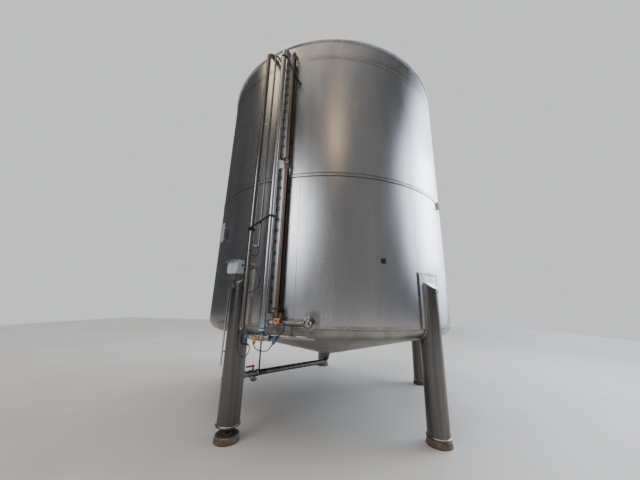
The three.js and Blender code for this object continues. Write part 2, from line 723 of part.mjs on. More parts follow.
function buildSmall() {
	const plateGroup = station(PLATE_AZ);
	const sheet = block([-72, 72], [1712, 1715], [1905, 2145]);
	const arms = [1950, 2100].map((up) => block([-10, 10], [SHELL_R - 8, 1713], [up - 8, up + 8]));
	addPart(plateGroup, 'nameplate', onShell(fuse(sheet, ...arms), PLATE_AZ), 'plate');

	const lugGroup = station(LUG_AZ);
	const bandGap = ring(SHELL_R - 20, SHELL_R + BAND_T + 3 * GAP, Z_MID - BAND_HALF - 1, Z_MID + BAND_HALF + 1);
	bandGap.rotateZ(-THREE.MathUtils.degToRad(LUG_AZ));
	const lug = cut(block([-6, 6], [SHELL_R - 8, 1722], [2440, 2545]), bandGap);
	addPart(lugGroup, 'side_lug', onShell(lug, LUG_AZ), 'shell');

	const socketGroup = station(SOCKET_AZ);
	const socket = fuse(
		block([-25, 25], [SHELL_R - 8, SHELL_R + 8], [Z_SOCKET - 25, Z_SOCKET + 25]),
		spoke(0, [SHELL_R - 8, SHELL_R + 14], Z_SOCKET, 16, 20),
	);
	addPart(socketGroup, 'probe_socket', onShell(socket, SOCKET_AZ), 'black');

	const leg = station(LEGS[4].azimuth);
	const run = post(LEG_PIPE_RIGHT, LEG_PIPE_OUT, 620, 1345, 9, 12);
	const tabs = [745, 1130, 1310].map((up) => block(
		[LEG_PIPE_RIGHT, LEG_PIPE_RIGHT + 30],
		[LEG_PIPE_OUT - 40, LEG_PIPE_OUT],
		[up - 6, up + 6],
	));
	const legTube = post(0, LEG_CIRCLE, 600, 1400, LEG_R + GAP, 32);
	addPart(leg, 'leg_pipe', cut(fuse(run, ...tabs), legTube), 'pipe');
}

// A smooth cord through points of the tank
function cord(points, radius) {
	const path = new THREE.CatmullRomCurve3(points, false, 'centripetal');
	const steps = Math.round(path.getLength() / CABLE_STEP);
	const options = { steps, bevelEnabled: false, extrudePath: path };
	return outward(new THREE.ExtrudeGeometry(disc(radius, 8), options));
}

function buildCables() {
	// Stations of each cable: the azimuth it is counted from, then right, outward and up
	const cables = {
		cable_level: [GAUGE_AZ, [
			[98.8, 1791, 1060], [111.5, 1790.4, 1057.7], [122.2, 1788.2, 1049.9], [128.3, 1786, 1038],
			[131, 1783.2, 1025], [131.3, 1780.2, 1011.7], [129.4, 1777, 998.6], [125.5, 1774, 986],
			[119.8, 1770.8, 974.1], [112.5, 1767.4, 963.2], [103.5, 1764.2, 953.8], [93.2, 1761.3, 945.7],
			[81.9, 1759.3, 938.9], [70.1, 1758.2, 932.5], [59.7, 1758, 924.1], [51.4, 1758, 913.6],
			[44.2, 1758, 902.4],
		]],
		cable_low: [CLEANING_AZ, [
			[-71, 1800, 865.6], [-70.4, 1800, 852.3], [-66, 1800, 839.9], [-57.2, 1800, 830.1],
			[-46.2, 1799.8, 822.9], [-34.3, 1799, 817.2], [-21.8, 1797.8, 812.9], [-9.1, 1796, 809.8],
			[3.7, 1793.3, 807.7], [16.3, 1789.5, 806.7], [28.7, 1784.8, 806.7], [40.6, 1779.3, 808.1],
			[51.4, 1772.8, 811.9], [60.3, 1766.1, 818.9], [67.3, 1760.6, 828.7], [74.1, 1757.3, 839.5],
			[81.1, 1756, 850.6], [88.3, 1755.9, 861.5],
		]],
		cable_left: [CLEANING_AZ, [
			[-135.6, 1800, 851.8], [-125, 1800, 848.5], [-116.5, 1800, 838], [-112.9, 1800, 817.4],
			[-117.1, 1800, 794.1], [-127, 1800, 772.7], [-143.4, 1800, 755.8], [-165.2, 1800, 746.9],
			[-188.6, 1800, 748.9], [-208.3, 1800.3, 761.6], [-221.9, 1801.1, 780.9], [-230.6, 1802.3, 802.9],
			[-235.9, 1803.5, 825.9], [-239, 1804.6, 849.4], [-240.6, 1805.5, 873], [-241, 1806.2, 896.7],
			[-240.4, 1806.9, 920.4], [-238.9, 1807.4, 944.1], [-236.8, 1807.9, 967.7], [-235.2, 1808.2, 991.3],
			[-235, 1808.3, 1015],
		]],
		cable_box: [BOX_AZ, [
			[30, 1750, 1488.4], [32, 1764, 1440], [60, 1795, 1370], [110, 1797, 1312], [165, 1780, 1284],
			[215, 1750, 1296], [270, 1738, 1312], [330, 1735, 1350], [352, 1735, 1410], [325, 1735, 1470],
			[260, 1725, 1535], [180, 1725, 1572], [120, 1742, 1570.5], [87, 1742, 1570],
		]],
		cable_loop: [CONDUIT_AZ, [
			[-6, 1801, 1730.6], [-6, 1801, 1721], [-4, 1801, 1711], [0.6, 1801, 1700.5], [3.4, 1801, 1689],
			[3.5, 1801, 1678], [0.5, 1801, 1667.5], [-5, 1800.5, 1658], [-13, 1800, 1650], [-23, 1799, 1645],
			[-34.5, 1797.5, 1643], [-46, 1795.5, 1643.5], [-57, 1793, 1646.5], [-67, 1790.5, 1651.5],
			[-76, 1788, 1658.5], [-83.5, 1787, 1667], [-88.5, 1787.4, 1677], [-91, 1788.2, 1688],
			[-91.5, 1788.4, 1699.5],
		]],
	};
	for (const [name, [azimuth, places]] of Object.entries(cables)) {
		const path = places.map(([right, out, up]) => local(right, out, up));
		addPart(station(azimuth), name, cord(path, CABLE_R), 'black');
	}
}

function centreOnFloor() {
	tank.updateMatrixWorld(true);
	const box = new THREE.Box3().setFromObject(tank, true);
	tank.position.x = -(box.min.x + box.max.x) / 2;
	tank.position.y = -(box.min.y + box.max.y) / 2;
}

buildShell();
buildRoof();
LEGS.forEach(buildLeg);
buildGauge();
buildPipes();
buildNozzle();
buildRail();
buildOutlet();
buildBox();
buildSmall();
buildCables();
centreOnFloor();

export default tank;
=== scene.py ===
import math
import random
from itertools import product

import bmesh
import bpy
from mathutils import Matrix, Vector, noise


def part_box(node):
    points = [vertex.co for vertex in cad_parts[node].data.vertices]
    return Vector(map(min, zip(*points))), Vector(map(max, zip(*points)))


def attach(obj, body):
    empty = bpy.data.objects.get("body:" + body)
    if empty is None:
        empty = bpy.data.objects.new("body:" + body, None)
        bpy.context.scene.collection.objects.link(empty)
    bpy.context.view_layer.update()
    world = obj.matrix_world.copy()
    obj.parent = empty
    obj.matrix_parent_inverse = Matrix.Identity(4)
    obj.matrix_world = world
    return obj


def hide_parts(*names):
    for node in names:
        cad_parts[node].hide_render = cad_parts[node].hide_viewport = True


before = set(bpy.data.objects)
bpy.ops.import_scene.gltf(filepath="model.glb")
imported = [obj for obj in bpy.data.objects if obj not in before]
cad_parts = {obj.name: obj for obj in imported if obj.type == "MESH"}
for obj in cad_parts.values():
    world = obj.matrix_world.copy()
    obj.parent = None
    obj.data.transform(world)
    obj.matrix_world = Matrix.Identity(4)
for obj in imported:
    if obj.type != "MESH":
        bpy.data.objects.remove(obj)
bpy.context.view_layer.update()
SCENE = bpy.context.scene
MM = 0.001
Z_AXIS = Vector((0, 0, 1))
OUTWARD = Matrix.Rotation(math.pi / 2, 4, "X")
HEX = 6
HEX_REACH = 0.5 / math.cos(math.pi / HEX)

# The tank's axis in plan, in metres
_low, _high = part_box("shell_lower")
AXIS_X = (_low[0] + _high[0]) / 2
AXIS_Y = (_low[1] + _high[1]) / 2

# Shell, in millimetres over the floor
SHELL_R = 1670.0
WALL = 4.0
Z_KNUCKLE = 1003.0
Z_MID = 2516.0
Z_UPPER = 4055.0
Z_RIM = 4340.0
KNUCKLE_R = 108.0
CONE_SLOPE = math.radians(14)
ROOF_SLOPE = math.radians(9)
ROUND = 288
ROOF_ROUND = 192
COURSE_ROWS = 14
COURSE_EASE = 180.0
COURSE_DENT = 1.3
SEAM_R = 2.2
ROOF_EYE = 120.0
ROOF_WELD_R = 2.4

# Legs
LEG_CIRCLE = 1650.0
LEG_R = 102.0
LEG_CAP_INNER = 1482.0
LEG_CAP_SLOPE = math.radians(40)
Z_LEG_BOSS = 1366.0
DOUBLER_HALF = 192.0
DOUBLER_T = 10.0
DOUBLER_EDGE = 28.0
LEG_PLATE_R = 112.0
LEG_PLATE_T = 10.0
SPINDLE_R = 18.0
NUT_R = 34.0
THREAD_PITCH = 4.0
Z_DOUBLER = 1556.0
PAD_R = 115.0
PAD_TOP_R = 104.0
PAD_H = 56.0
# Azimuth, and height of the tube's end over the floor
LEGS = {
    "front_right": (39.1, 62.0),
    "back_right": (111.1, 58.0),
    "back": (183.1, 118.0),
    "left": (255.1, 120.0),
    "front_left": (-32.9, 126.0),
}

# Gauge
GAUGE_AZ = -16.3
GAUGE_FACE = 1738.0
SCALE_T = 3.0
SCALE_LEFT = -66.0
SCALE_RIGHT = 8.0
SIGHT_RIGHT = 28.0
SIGHT_R = 16.5
DIGIT_HIGH = 40.0
SIGHT_OUT = 1748.0
Z_GAUGE_LOW = 1120.0
Z_GAUGE_MID = 2650.0
Z_GAUGE_TOP = 4088.0
SIGHT_SPANS = ((Z_GAUGE_LOW, Z_GAUGE_MID - 46), (Z_GAUGE_MID + 46, Z_GAUGE_TOP))
GUARD_RIGHT = 50.0
GUARD_OUT = 1712.0
GUARD_LIP = 12.0
LABEL_AZ = 29.4
LABEL_UP = 1630.0
MARK_PITCH = 113.6
MARK_ZERO = 765.0
UPPER_SHIFT = 39.0
# Marks: every so many tenths, length and half thickness
MARKS = ((10, 17.0, 1.6), (5, 11.0, 0.8), (2, 6.0, 0.8))

# Numerals: their height as a share of the font's size, their depth and their boldness
DIGIT_SHARE = 0.70
DIGIT_DEEP = 0.22
DIGIT_BOLD = 0.9
DIGIT_SEED = 11
CHAIN_SEED = 3
CHAIN_LINKS = 9
CHAIN_PITCH = 10
CHAIN_OUT = SHELL_R + 22

# Pipes
PIPE_A_R = 25.0
PIPE_C_R = 28.0
CLEANING_AZ = -18.6
CLEANING_OUT = 1800.0
Z_CLEANING = 1000.0
VENT_AZ = -25.1
VENT_OUT = 1820.0
Z_VENT = 968.0
CONDUIT_AZ = -22.2
CONDUIT_OUT = 1800.0
Z_CONDUIT = 1740.0
Z_TIE = 1694.0
Z_PIPE_TOP = 4190.0
Z_SAMPLE = 1040.0
NOZZLE_AZ = -5.7
NOZZLE_OUT = 1752.0
OUTLET_AZ = -46.5
Z_OUTLET = 412.0
OUTLET_END = 1130.0
OUTLET_TUBE_R = 31.75
OUTLET_BEND = 86.0
BOX_AZ = -32.9
BOX_BACK = 1718.0
Z_BOX = 1490.0
PLATE_AZ = -50.1
LUG_AZ = 57.0
SOCKET_AZ = 18.5
Z_SOCKET = 1632.0
Z_NUB = 2467.0
THIN_R = 11.0
SENSOR_RIGHT = 62.0
PLUG_RIGHT = -71.0
Z_MANIFOLD = 917.0
Z_ELBOW = 852.0
Z_STRUT = 4030.0
STRUT_R = 9.0
Z_BRACE = 1905.0
BRACE_RISE = 125.0
BRACE_R = 9.0
Z_LINK = 3137.0
Z_LINK_LOW = 1750.0
SUPPORT_AZ = -10.3
SUPPORT_OUT = 1731.0
Z_RAIL = 936.0
OUTLET_R = 38.0
OUTLET_HANGER = 1114.0
LEG_PIPE_RIGHT = -72.0
LEG_PIPE_OUT = 1752.0
CABLE_R = 4.0
CLEANING_BEADS = (1388, 2720, 3560)
VENT_BEADS = (1480, 2260, 3420)
CONDUIT_NUTS = (1930, 3050, 3960)
OUTLET_WELDS = (OUTLET_BEND + 2, 430.0, 820.0)

# Small fittings and radial welds
LEG_PIPE_ENDS = (620, 1345)
LEG_PIPE_CLIPS = (745, 1130, 1310)
RAIL_OUT = (1710, 1721)
RAIL_SPAN = (-228, 205)
PLATE_OUT = (1712, 1715)
PLATE_ENDS = (1905, 2145)
LUG_ENDS = (2440, 2545)
LUG_OUT = 1722
GLAND_OUT = 1750
SIDE_GLAND_OUT = 1742
ROOF_WELDS = 6
BOTTOM_WELDS = 5

# Camera, as solved from the photo; the focal length fits an image of the given width
FOCAL_PX = 247.0
IMAGE_W = 640.0
CAMERA_MM = (0.0, -3973.0, 1204.0)
CAMERA_YAW = math.radians(-2.23)
CAMERA_PITCH = math.radians(14.70)
CAMERA_ROLL = math.radians(1.58)

# Lights: name, azimuth, distance and height in mm, size in m, power and colour
LIGHTS = (
    ("key", 100, 7000, 4600, (4.0, 4.0), 180, (0.95, 0.98, 1.0)),
    ("fill_left", -34, 8000, 4600, (3.0, 3.0), 70, (1.0, 0.99, 0.97)),
    ("fill_back", 190, 6500, 5200, (5.0, 3.0), 110, (0.97, 0.98, 1.0)),
)
AIM_UP = 2200.0
FLOOR_HALF = 14.0
FLOOR_CELLS = 24
# The room: its even part, what the camera sees behind the tank, and bright lobes with their
# azimuth, elevation, inner and outer half angle, top and colour, with all angles in degrees
WORLD_BASE = (0.070, 0.070, 0.073)
BACKDROP = (0.80, 0.81, 0.82)
LID_SOFT = 7.0
WORLD_LOBES = (
    (-33, 23, 6, 24, 30, (2.1, 2.15, 2.3)),
    (-66, 55, 9, 16, 90, (2.1, 1.72, 1.22)),
    (-24, 62, 6, 20, 90, (0.45, 0.40, 0.34)),
    (94, 24, 8, 27, 39, (2.3, 2.55, 2.95)),
    (124, 26, 16, 36, 46, (2.9, 3.25, 3.8)),
    (5, 39, 1, 12, 90, (0.62, 0.43, 0.25)),
    (4, 37, 0.5, 4, 90, (1.5, 1.1, 0.66)),
    (20, 16, 14, 60, 90, (0.125, 0.122, 0.117)),
    (0, 90, 18, 38, 90, (1.9, 1.86, 1.82)),
)


# Places

def at(azimuth, out, up, right=0.0):
    """A point in metres from an azimuth in degrees and millimetres outward, up and to the right."""
    a = math.radians(azimuth)
    x = out * math.sin(a) + right * math.cos(a)
    y = -out * math.cos(a) + right * math.sin(a)
    return Vector((AXIS_X + x * MM, AXIS_Y + y * MM, up * MM))


def local_frame(azimuth, out=0.0, up=0.0, right=0.0):
    """A matrix whose X runs to the right, Y inward and Z up, at a place on the tank, in metres."""
    turn = Matrix.Rotation(math.radians(azimuth), 4, "Z")
    return Matrix.Translation(at(azimuth, out, up, right)) @ turn


def loc(right, out, up):
    """A point of a local frame set at the tank's axis."""
    return Vector((right, -out, up))


def shift(right, out, up):
    """A matrix that moves to a point of a local frame, from mm."""
    return Matrix.Translation(loc(right, out, up) * MM)


def aimed(start, axis):
    """A matrix that moves to a point and turns Z to an axis."""
    return Matrix.Translation(start) @ Z_AXIS.rotation_difference(axis).to_matrix().to_4x4()


def spaced(first, last, steps):
    """Even steps from first to last, both included."""
    return [first + (last - first) * k / steps for k in range(steps + 1)]


def arc(radius, first, last, steps, centre=(0.0, 0.0)):
    """Points on a circle between two angles in degrees, both included."""
    turns = [math.radians(angle) for angle in spaced(first, last, steps)]
    return [(centre[0] + radius * math.cos(t), centre[1] + radius * math.sin(t)) for t in turns]


def circle(radius, count, centre=(0.0, 0.0), start=0.0):
    """Points round a whole circle, from an angle in degrees."""
    return arc(radius, start, start + 360.0 * (count - 1) / count, count - 1, centre)


# Meshes

def finish_mesh(name, verts, faces, material, body="tank", sharp=35.0, node=None):
    mesh = bpy.data.meshes.new(name)
    mesh.from_pydata([tuple(v) for v in verts], [], faces)
    mesh.validate()
    mesh.shade_smooth()
    mesh.set_sharp_from_angle(angle=math.radians(sharp))
    mesh.materials.append(material)
    piece = bpy.data.objects.new(name, mesh)
    SCENE.collection.objects.link(piece)
    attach(piece, body)
    if node:
        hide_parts(node)
    return piece


def grid(rows, columns, closed=False):
    """Faces over round rows of vertices; closed joins the last row to the first."""
    faces = []
    for i in range(rows if closed else rows - 1):
        here = i * columns
        there = (i + 1) % rows * columns
        for k in range(columns):
            m = (k + 1) % columns
            faces.append((here + k, here + m, there + m, there + k))
    return faces


def skin(rows, closed=False):
    """Vertices and faces over round rows of points, capped at both ends unless the rows close."""
    count = len(rows[0])
    faces = grid(len(rows), count, closed)
    if not closed:
        last = (len(rows) - 1) * count
        faces += [tuple(reversed(range(count))), tuple(range(last, last + count))]
    return [v for row in rows for v in row], faces


def turned(profile, segments):
    """Vertices and faces of a closed profile of (radius, height) in metres turned about Z."""
    rows = []
    for i in range(segments):
        a = 2 * math.pi * i / segments
        rows.append([Vector((r * math.sin(a), -r * math.cos(a), z)) for r, z in profile])
    return skin(rows, True)


class Build:
    """Collects solids in one local frame into one mesh, from measures in mm."""

    def __init__(self, matrix=None):
        self.matrix = matrix or Matrix.Identity(4)
        self.verts = []
        self.faces = []

    def add(self, verts, faces, matrix=None):
        base = len(self.verts)
        m = self.matrix @ matrix if matrix else self.matrix
        self.verts += [m @ Vector(v) for v in verts]
        self.faces += [tuple(base + i for i in f) for f in faces]
        return self

    def join(self, other, matrix=None):
        """Takes over the solids of another build."""
        return self.add(other.verts, other.faces, matrix)

    def lathe(self, profile, matrix=None, segments=32):
        """A closed profile turned about the local Z of matrix; ends on the axis are capped."""
        return self.add(*turned([(r * MM, z * MM) for r, z in profile], segments), matrix)

    def rod(self, a, b, radius, sides=20, chamfer=0.0):
        """A round bar between two local points, with chamfered ends."""
        start = Vector(a) * MM
        axis = Vector(b) * MM - start
        length = axis.length / MM
        c = min(chamfer, length / 2, radius)
        profile = [(0, 0), (radius - c, 0), (radius, c), (radius, length - c), (radius - c, length),
                   (0, length)]
        if c == 0:
            profile = [(0, 0), (radius, 0), (radius, length), (0, length)]
        return self.lathe(profile, aimed(start, axis), sides)

    def bar(self, right, out, up, *size):
        """A rod along one axis: of right, out and up, one is the pair of its ends."""
        ends = []
        for n in (0, 1):
            ends.append(loc(*(item[n] if isinstance(item, tuple) else item for item in (right, out, up))))
        return self.rod(*ends, *size)

    def ball(self, centre, radius, rings=12, sides=24):
        return self.lathe(arc(radius, -90, 90, rings), Matrix.Translation(Vector(centre) * MM), sides)

    def ring(self, centre, axis, major, minor, sides=32, round_sides=10):
        """A torus."""
        place = aimed(Vector(centre) * MM, Vector(axis))
        return self.lathe(circle(minor, round_sides, (major, 0)), place, sides)

    def block(self, right, out, up, bevel=1.0):
        """A box with chamfered edges, from its spans to the right, outward and up."""
        spans = (right, (-out[1], -out[0]), up)
        b = min(bevel, *((high - low) / 2.01 for low, high in spans))
        index = {}
        verts = []
        for corner in product((0, 1), repeat=3):
            for k in range(3):
                index[corner, k] = len(verts)
                place = [span[side] + b * (1 - 2 * side) for span, side in zip(spans, corner)]
                place[k] = spans[k][corner[k]]
                verts.append(Vector(place) * MM)
        faces = [tuple(index[corner, k] for k in range(3)) for corner in product((0, 1), repeat=3)]
        for k in range(3):
            u, v = [axis for axis in range(3) if axis != k]
            for side in (0, 1):
                loop = [(*pair[:k], side, *pair[k:]) for pair in ((0, 0), (1, 0), (1, 1), (0, 1))]
                faces.append(tuple(index[corner, k] for corner in loop))
            for pair in product((0, 1), repeat=2):
                low, high = [(*pair[:k], side, *pair[k:]) for side in (0, 1)]
                faces.append((index[low, u], index[low, v], index[high, v], index[high, u]))
        return self.add(verts, faces)

    def tube(self, path, radius, sides):
        """A round tube along a path in metres; only its radius is in mm."""
        return self.add(*swept(path, radius * MM, sides))

    def sweep(self, points, radius, sides):
        """A round tube through local points in mm."""
        return self.tube([Vector(p) * MM for p in points], radius, sides)

    def plate(self, outline, deep, matrix=None):
        """A flat plate: outline is (X, Z) pairs, deep its span along Y."""
        return self.add(*skin([[Vector((x, y, z)) * MM for x, z in outline] for y in deep]), matrix)

    def piece(self, name, material, **more):
        outward(self)
        return finish_mesh(name, self.verts, self.faces, material, **more)


def outward(build):
    """Turns every closed shell of the collected faces to face out."""
    bm = bmesh.new()
    made = [bm.verts.new(v) for v in build.verts]
    for f in build.faces:
        loop = []
        for i in f:
            if not loop or made[i] is not loop[-1]:
                loop.append(made[i])
        try:
            bm.faces.new(loop)
        except ValueError:
            pass
    bmesh.ops.remove_doubles(bm, verts=bm.verts, dist=1e-6)
    bmesh.ops.recalc_face_normals(bm, faces=bm.faces)
    bm.verts.index_update()
    build.verts = [v.co.copy() for v in bm.verts]
    build.faces = [tuple(v.index for v in f.verts) for f in bm.faces]
    bm.free()


def swept(path, radius, sides):
    """A tube along a path of points, turned as little as possible on its way."""
    last = len(path) - 1
    tangents = [(path[min(i + 1, last)] - path[max(i - 1, 0)]).normalized() for i in range(last + 1)]
    side = tangents[0].orthogonal().normalized()
    rows = []
    for i, point in enumerate(path):
        if i:
            side = tangents[i - 1].rotation_difference(tangents[i]) @ side
        other = tangents[i].cross(side).normalized()
        turns = [2 * math.pi * k / sides for k in range(sides)]
        rows.append([point + radius * (math.cos(a) * side + math.sin(a) * other) for a in turns])
    return skin(rows)


def bent(corners, bend, steps=10):
    """Points of straight runs joined by round bends, in the unit of the corners."""
    corners = [Vector(c) for c in corners]
    points = [corners[0]]
    for i in range(1, len(corners) - 1):
        before = (corners[i] - corners[i - 1]).normalized()
        after = (corners[i + 1] - corners[i]).normalized()
        angle = before.angle(after)
        side = (after - before * math.cos(angle)).normalized()
        start = corners[i] - before * bend * math.tan(angle / 2)
        for k in range(steps + 1):
            a = angle * k / steps
            points.append(start + before * bend * math.sin(a) + side * bend * (1 - math.cos(a)))
    points.append(corners[-1])
    return points


def blend(p, q, first, last, t):
    """The place at t between p at first and q at last."""
    return p * ((last - t) / (last - first)) + q * ((t - first) / (last - first))


def smooth_path(points, steps):
    """A centripetal curve through the points."""
    pts = [Vector(p) for p in points]
    pts = [2 * pts[0] - pts[1]] + pts + [2 * pts[-1] - pts[-2]]
    out = []
    for i in range(1, len(pts) - 2):
        p = pts[i - 1:i + 3]
        knots = [0.0]
        for a, b in zip(p, p[1:]):
            knots.append(knots[-1] + max((b - a).length, 1e-9) ** 0.5)
        t0, t1, t2, t3 = knots
        for k in range(steps):
            t = t1 + (t2 - t1) * k / steps
            a1, a2, a3 = [blend(p[n], p[n + 1], knots[n], knots[n + 1], t) for n in range(3)]
            out.append(blend(blend(a1, a2, t0, t2, t), blend(a2, a3, t1, t3, t), t1, t2, t))
    out.append(pts[-2])
    return out


# Materials

class Nodes:
    """A node tree with a short way to add a node and to wire it."""

    def __init__(self, owner):
        owner.use_nodes = True
        self.nodes = owner.node_tree.nodes
        self.links = owner.node_tree.links

    def add(self, kind, output, inputs, **settings):
        """An output of a new node, whose inputs take values or the outputs of other nodes."""
        node = self.nodes.new("ShaderNode" + kind)
        for key, setting in settings.items():
            setattr(node, key, setting)
        for key, item in inputs.items():
            if isinstance(item, bpy.types.NodeSocket):
                self.links.new(item, node.inputs[key])
            else:
                node.inputs[key].default_value = item
        return node.outputs[output]


class Shader(Nodes):
    """A material with a few short ways to wire it."""

    def __init__(self, name):
        self.material = bpy.data.materials.new(name)
        super().__init__(self.material)
        self.bsdf = self.nodes["Principled BSDF"].inputs
        self.coords = self.add("TexCoord", "Object", {})

    def value(self, socket, number):
        self.bsdf[socket].default_value = number

    def noise(self, scale, size, detail, rough, warp=0.0, offset=(0, 0, 0)):
        spot = self.add("Mapping", "Vector", {"Scale": scale, "Location": offset, "Vector": self.coords})
        return self.add("TexNoise", "Fac", {
            "Scale": size, "Detail": detail, "Roughness": rough, "Distortion": warp, "Vector": spot})

    def spread(self, value, low, high, out_low=0.0, out_high=1.0):
        return self.add("MapRange", "Result", {
            "Value": value, "From Min": low, "From Max": high, "To Min": out_low, "To Max": out_high,
        }, interpolation_type="SMOOTHSTEP")

    def patches(self, scale, size, detail, rough, low=0.35, high=0.65, out_low=0.0, out_high=1.0):
        """Noise without warp, spread over a range."""
        return self.spread(self.noise(scale, size, detail, rough), low, high, out_low, out_high)

    def maths(self, operation, a, b=0.0):
        return self.add("Math", "Value", {0: a, 1: b}, operation=operation)

    def times(self, *items):
        result = items[0]
        for item in items[1:]:
            result = self.maths("MULTIPLY", result, item)
        return result

    def axis(self, which):
        return self.add("SeparateXYZ", which, {"Vector": self.coords})

    def mix(self, factor, a, b):
        a, b = [(*item, 1.0) if isinstance(item, tuple) else item for item in (a, b)]
        return self.add("Mix", 2, {"Factor": factor, 6: a, 7: b}, data_type="RGBA")

    def band(self, coordinate, centre, half, soft):
        """1 within half of a height, falling to 0 over soft, in metres."""
        gap = self.maths("ABSOLUTE", self.maths("SUBTRACT", coordinate, centre))
        return self.spread(gap, half, half + soft, 1.0, 0.0)

    def colour(self, output):
        self.links.new(output, self.bsdf["Base Color"])

    def rough(self, output):
        self.links.new(output, self.bsdf["Roughness"])

    def bump(self, height, strength, distance, before=None):
        inputs = {"Strength": strength, "Distance": distance, "Height": height}
        if before:
            inputs["Normal"] = before
        normal = self.add("Bump", "Normal", inputs)
        self.links.new(normal, self.bsdf["Normal"])
        return normal


# Depth of the painted shadow and reflection patches
SHADE_PATCH_DEEP = 0.15
DAMP = (0.16, 0.13, 0.10)
EVEN = (1, 1, 1)
FINE_DEPTH = 0.0004


def steel(name, light, dark, rough, streak, grime, grain, welds=(), waves=0.0, aniso=0.0, shade_patches=()):
    """Stainless sheet or tube: drawn streaks, fine grain, blotches, heat tint beside its welds with painted
    shade along some, and patches of painted shadow and reflection.
    """
    s = Shader(name)
    s.value("Metallic", 1.0)
    tone = s.mix(s.patches(streak, 1.0, 5.0, 0.6, 0.36, 0.66), dark, light)
    blotch = s.spread(s.noise((1, 1, 0.6), 2.3, 6.0, 0.62, 0.4), 0.52, 0.80, 0.0, grime)
    tone = s.mix(blotch, tone, DAMP)
    height = s.axis("Z")
    for centre, half, soft, tint, amount in welds:
        patchy = s.patches((3, 3, 12), 1.6, 4.0, 0.6, 0.35, 0.62, 0.25)
        tone = s.mix(s.times(s.band(height, centre, half, soft), patchy, amount), tone, tint)
    # Patches of painted shadow and reflection of the fittings on the shell
    for centre, wide, high, tint in shade_patches:
        near = s.times(s.band(s.axis("X"), centre.x, wide, wide), s.band(height, centre.z, high, high),
                       s.band(s.axis("Y"), centre.y, SHADE_PATCH_DEEP, SHADE_PATCH_DEEP))
        patchy = s.spread(s.noise(EVEN, 22.0, 4.0, 0.6, 0.4), 0.30, 0.60, 0.3, 1.0)
        tone = s.mix(s.times(near, patchy), tone, tint)
    s.colour(tone)
    fine = s.noise((170, 170, 3.0), 1.0, 3.0, 0.5)
    mid = s.noise((4, 4, 0.8), 1.0, 5.0, 0.6, 0.3)
    s.rough(s.spread(s.maths("ADD", s.times(fine, 0.15), s.times(mid, 0.85)), 0.32, 0.68, *rough))
    normal = s.bump(fine, grain, FINE_DEPTH)
    if waves:
        s.bump(s.noise((1, 1, 0.8), 1.4, 2.0, 0.4), waves, 0.012, normal)
    if aniso:
        s.value("Anisotropic", aniso)
    return s.material


def plastic(name, light, dark, rough, scale, grime, grime_tone=(0.10, 0.09, 0.08)):
    """Moulded plastic or paint with soft mottling, dirt in the hollows and a fine orange peel."""
    s = Shader(name)
    tone = s.mix(s.patches(EVEN, scale, 4.0, 0.6, 0.35, 0.68), dark, light)
    dirt = s.spread(s.noise((1, 1, 0.5), scale * 2.1, 6.0, 0.7, 0.6), 0.55, 0.78, 0.0, grime)
    s.colour(s.mix(dirt, tone, grime_tone))
    s.rough(s.patches(EVEN, scale * 3, 3.0, 0.5, 0.35, 0.65, *rough))
    s.bump(s.noise(EVEN, 900.0, 2.0, 0.5), 0.12, FINE_DEPTH)
    return s.material


def rusty(name):
    """A cast pad: brown rust on its side, a dark top, a rubbed rim and a black line at the floor that is a
    painted contact shadow.
    """
    s = Shader(name)
    base = s.mix(s.spread(s.noise(EVEN, 34.0, 8.0, 0.68, 0.3), 0.36, 0.64), (0.090, 0.070, 0.050),
                 (0.165, 0.120, 0.080))
    spots = s.spread(s.noise((1, 1, 2), 14.0, 6.0, 0.6, 0.6, (3, 1, 2)), 0.56, 0.70, 0.0, 0.6)
    base = s.mix(spots, base, (0.215, 0.150, 0.095))
    height = s.axis("Z")
    patchy = s.patches(EVEN, 18.0, 5.0, 0.6, 0.38, 0.62, 0.25, 0.9)
    rim = s.times(s.band(height, RIM_UP, RIM_HALF, RIM_HALF), patchy)
    base = s.mix(rim, base, (0.34, 0.31, 0.28))
    top = s.spread(height, PAD_H * MM - RIM_HALF, PAD_H * MM - RIM_HALF / 2)
    base = s.mix(top, base, s.mix(patchy, (0.055, 0.050, 0.054), (0.100, 0.092, 0.092)))
    # Painted contact shadow: a black line where the pad meets the floor
    foot = s.spread(height, 0.003, 0.007, 1.0, 0.0)
    s.colour(s.mix(foot, base, (0.012, 0.011, 0.010)))
    s.rough(s.patches(EVEN, 40.0, 4.0, 0.6, 0.35, 0.65, 0.55, 0.85))
    s.value("Metallic", 0.15)
    s.bump(s.noise(EVEN, 90.0, 6.0, 0.7), 0.35, 0.0012)
    return s.material


def sight_tube(name):
    """A clear tube with amber residue: darker and lighter lengths up its height."""
    s = Shader(name)
    tone = s.mix(s.patches((2, 2, 1.1), 1.3, 4.0, 0.6, 0.36, 0.64), (0.078, 0.038, 0.019),
                 (0.155, 0.088, 0.048))
    streak = s.patches((90, 90, 1.5), 1.0, 3.0, 0.5, 0.45, 0.70, 0.0, 0.45)
    tone = s.mix(streak, tone, (0.24, 0.17, 0.105))
    height = s.axis("Z")
    tone = s.mix(s.spread(height, 3.1, 3.9, 0.0, 0.6), tone, (0.17, 0.135, 0.075))
    s.colour(s.mix(s.spread(height, 4.00, 4.06, 0.0, 0.85), tone, (0.035, 0.028, 0.020)))
    s.rough(s.patches((4, 4, 9), 3.0, 3.0, 0.5, 0.35, 0.65, 0.10, 0.22))
    s.value("IOR", 1.5)
    s.value("Coat Weight", 0.8)
    s.value("Coat Roughness", 0.05)
    s.bump(s.noise((60, 60, 2), 1.0, 2.0, 0.5), 0.05, 0.0006)
    return s.material


RIM_UP = (PAD_H - 3.0) * MM
RIM_HALF = 0.0016
WELD_TINT = (0.30, 0.22, 0.14)
